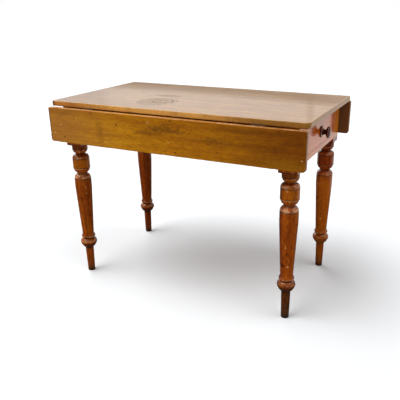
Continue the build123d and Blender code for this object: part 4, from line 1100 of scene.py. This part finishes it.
def slotted_screw_tree():
    """Sets a slotted screw on each point, head there and tip along its way in, slots turned by chance."""
    nodes, given = piece_tree("slotted_screws", (
        "Shank Radius", "Head Radius", "Length", "Slot Width", "Slot Depth"), counts=("Seed",))
    head_radius, shank_radius = given["Head Radius"], given["Shank Radius"]
    cone_height = nodes.minus(head_radius, shank_radius)
    head = nodes.shape("MeshCone", {"Vertices": HEAD_SIDES, "Radius Top": shank_radius,
                                    "Radius Bottom": head_radius, "Depth": cone_height})
    slot = nodes.shape("MeshCube", {"Size": nodes.from_parts(
        nodes.times(head_radius, SLOT_REACH), given["Slot Width"], nodes.times(given["Slot Depth"], 2.0))})
    cut = nodes.shape("MeshBoolean", {"Mesh 1": head, "Mesh 2": slot}, operation="DIFFERENCE",
                      solver="EXACT")
    shank = nodes.shape("MeshCone", {
        "Vertices": SHANK_SIDES, "Radius Top": nodes.times(shank_radius, TIP_SHARE),
        "Radius Bottom": shank_radius, "Depth": nodes.minus(given["Length"], cone_height)})
    lifted = nodes.shape("Transform", {"Geometry": shank, "Translation": nodes.from_parts(z=cone_height)})
    screw = nodes.shape("JoinGeometry", {"Geometry": [cut, lifted]})
    way = nodes.shape("InputNamedAttribute", {"Name": "way"}, data_type="FLOAT_VECTOR")
    aimed = nodes.first("FunctionNodeAlignRotationToVector", {"Vector": way}, axis="Z")
    chance = nodes.add("FunctionNodeRandomValue", {3: math.pi, "Seed": given["Seed"]},
                       data_type="FLOAT").outputs[1]
    spin = nodes.first("FunctionNodeAxisAngleToRotation", {"Axis": (0.0, 0.0, 1.0), "Angle": chance})
    turned = nodes.first("FunctionNodeRotateRotation", {"Rotation": aimed, "Rotate By": spin},
                         rotation_space="LOCAL")
    points = nodes.shape("MeshToPoints", {"Mesh": given["Geometry"]})
    placed = nodes.shape("InstanceOnPoints", {"Points": points, "Instance": screw, "Rotation": turned})
    real = nodes.shape("RealizeInstances", {"Geometry": placed})
    return ended(nodes, sharp_where_bent(nodes, real), given)


def make_screws():
    tree = slotted_screw_tree()
    for node, (body, axis, inwards, shank) in SCREW_SETS.items():
        places, ways = [], []
        for low, high in solids_of(node):
            start = (low + high) / 2
            side = math.copysign(1.0, start.y) if inwards == "outwards" else inwards
            start[axis] = low[axis] if side > 0 else high[axis]
            places.append(start)
            ways += [side if number == axis else 0.0 for number in range(3)]
            length = high[axis] - low[axis]
            head = (high.x - low.x) / 2
        points = bpy.data.meshes.new(node + "_places")
        points.from_pydata(places, [], [])
        points.attributes.new("way", "FLOAT_VECTOR", "POINT").data.foreach_set("vector", ways)
        values = {"Shank Radius": shank, "Head Radius": head, "Length": length,
                  "Slot Width": head * SLOT_SHARE, "Slot Depth": head * SLOT_SHARE, "Seed": len(node),
                  "Material": FINISHES["steel"]}
        screws = made_by(tree, points, values, node.replace("_screws", "_slotted_screws"))
        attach(screws, body)
        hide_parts(node)


# --- Studio ---
def looked_at(nodes):
    """Two masks: 1 where a ray comes straight from the camera, and 1 where it comes by way of gloss."""
    rays = nodes.add("ShaderNodeLightPath").outputs
    return rays["Is Camera Ray"], nodes.math("MAXIMUM", rays["Is Glossy Ray"], rays["Is Transmission Ray"])


def floor_finish():
    """White where it is seen; in polish, dim near the table and pale further behind it."""
    floor = Finish("studio_floor")
    seen, mirrored = looked_at(floor)
    behind = floor.rise(floor.parts(floor.place)["Y"], *BEHIND_TABLE)
    far = floor.times(behind, floor.rise(floor.length(floor.place), *FAR_FROM))
    in_polish = floor.blend(far, FLOOR_NEAR, FLOOR_FAR)
    colour = floor.blend(mirrored, floor.blend(seen, FLOOR_MATT, FLOOR_SEEN), in_polish)
    return floor.ended(floor.first("ShaderNodeBsdfDiffuse", {"Color": colour}))


def make_floor():
    bpy.ops.mesh.primitive_plane_add(size=FLOOR_SIZE)
    floor = bpy.context.object
    floor.name = "studio_floor"
    floor.data.materials.append(floor_finish())


def make_world():
    """White to look at, a wall and a room in reflections, and plain soft light on matt surfaces."""
    world = bpy.data.worlds.new("studio")
    bpy.context.scene.world = world
    world.use_nodes = True
    world.node_tree.nodes.clear()
    nodes = Nodes(world.node_tree)
    seen, mirrored = looked_at(nodes)
    towards = nodes.parts(nodes.add("ShaderNodeTexCoord").outputs["Generated"])
    height = nodes.math("ARCSINE", towards["Z"])
    bearing = nodes.math("ARCTAN2", towards["X"], towards["Y"])
    past = nodes.minus(bearing, math.radians(FOOT_BEARING))
    foot = nodes.times_plus(past, FOOT_SLOPE, math.radians(WALL_FOOT))
    above_foot = nodes.rise(nodes.minus(height, foot), -FOOT_BLUR, FOOT_BLUR)
    left, right = ([math.radians(side) + blur for blur in (-WALL_SIDE_BLUR, WALL_SIDE_BLUR)]
                   for side in WALL_SIDES)
    on_wall = nodes.times(nodes.rise(bearing, *left), nodes.fall(bearing, *right))
    off_frame = nodes.math("ABSOLUTE", nodes.minus(bearing, math.radians(DOOR_FRAME)))
    frame_mask = nodes.rise(off_frame, *DOOR_FRAME_HALF, DOOR_FRAME_SHARE, 0.0)
    wall = nodes.blend(frame_mask, nodes.blend(on_wall, SIDE_GLOW, WALL_GLOW), SKIRTING_GLOW)
    behind = nodes.rise(towards["Y"], *TO_WALL)
    lit = nodes.rise(bearing, *(math.radians(side) for side in RIGHT_FROM))
    skirting = nodes.blend(lit, SKIRTING_GLOW, SKIRTING_RIGHT)
    glow = nodes.blend(behind, ROOM_GLOW, nodes.blend(above_foot, skirting, wall))
    soft = nodes.first("ShaderNodeBackground", {"Color": WHITE, "Strength": AMBIENT})
    studio = nodes.first("ShaderNodeBackground", {"Color": glow, "Strength": 1.0})
    white = nodes.first("ShaderNodeBackground", {"Color": WHITE, "Strength": 1.0})
    in_polish = nodes.first("ShaderNodeMixShader", {0: mirrored, 1: soft, 2: studio})
    either_way = nodes.first("ShaderNodeMixShader", {0: seen, 1: in_polish, 2: white})
    nodes.add("ShaderNodeOutputWorld", {"Surface": either_way})


def make_lamps():
    for name, (bearing, height, width, power) in LAMPS.items():
        data = bpy.data.lights.new(name, "SUN")
        data.energy = power
        data.angle = math.radians(width)
        lamp = bpy.data.objects.new(name, data)
        turn = math.radians(bearing)
        lift = math.radians(height)
        towards = Vector((math.sin(turn) * math.cos(lift), math.cos(turn) * math.cos(lift), math.sin(lift)))
        lamp.rotation_euler = towards.to_track_quat("Z", "Y").to_euler()
        lamp.location = towards * LAMP_AWAY
        bpy.context.scene.collection.objects.link(lamp)


def make_camera():
    data = bpy.data.cameras.new("camera")
    data.lens = CAMERA_LENS
    data.shift_x, data.shift_y = CAMERA_SHIFT
    camera = bpy.data.objects.new("camera", data)
    turn = (Matrix.Rotation(CAMERA_YAW, 4, "Z") @ Matrix.Rotation(math.pi / 2 - CAMERA_PITCH, 4, "X")
            @ Matrix.Rotation(CAMERA_ROLL, 4, "Z"))
    camera.matrix_world = Matrix.Translation(CAMERA_PLACE) @ turn
    bpy.context.scene.collection.objects.link(camera)
    bpy.context.scene.camera = camera


finish_nodes()
make_legs()
make_boards()
make_screws()
make_floor()
make_world()
make_lamps()
make_camera()
bpy.context.scene.view_settings.view_transform = "Standard"
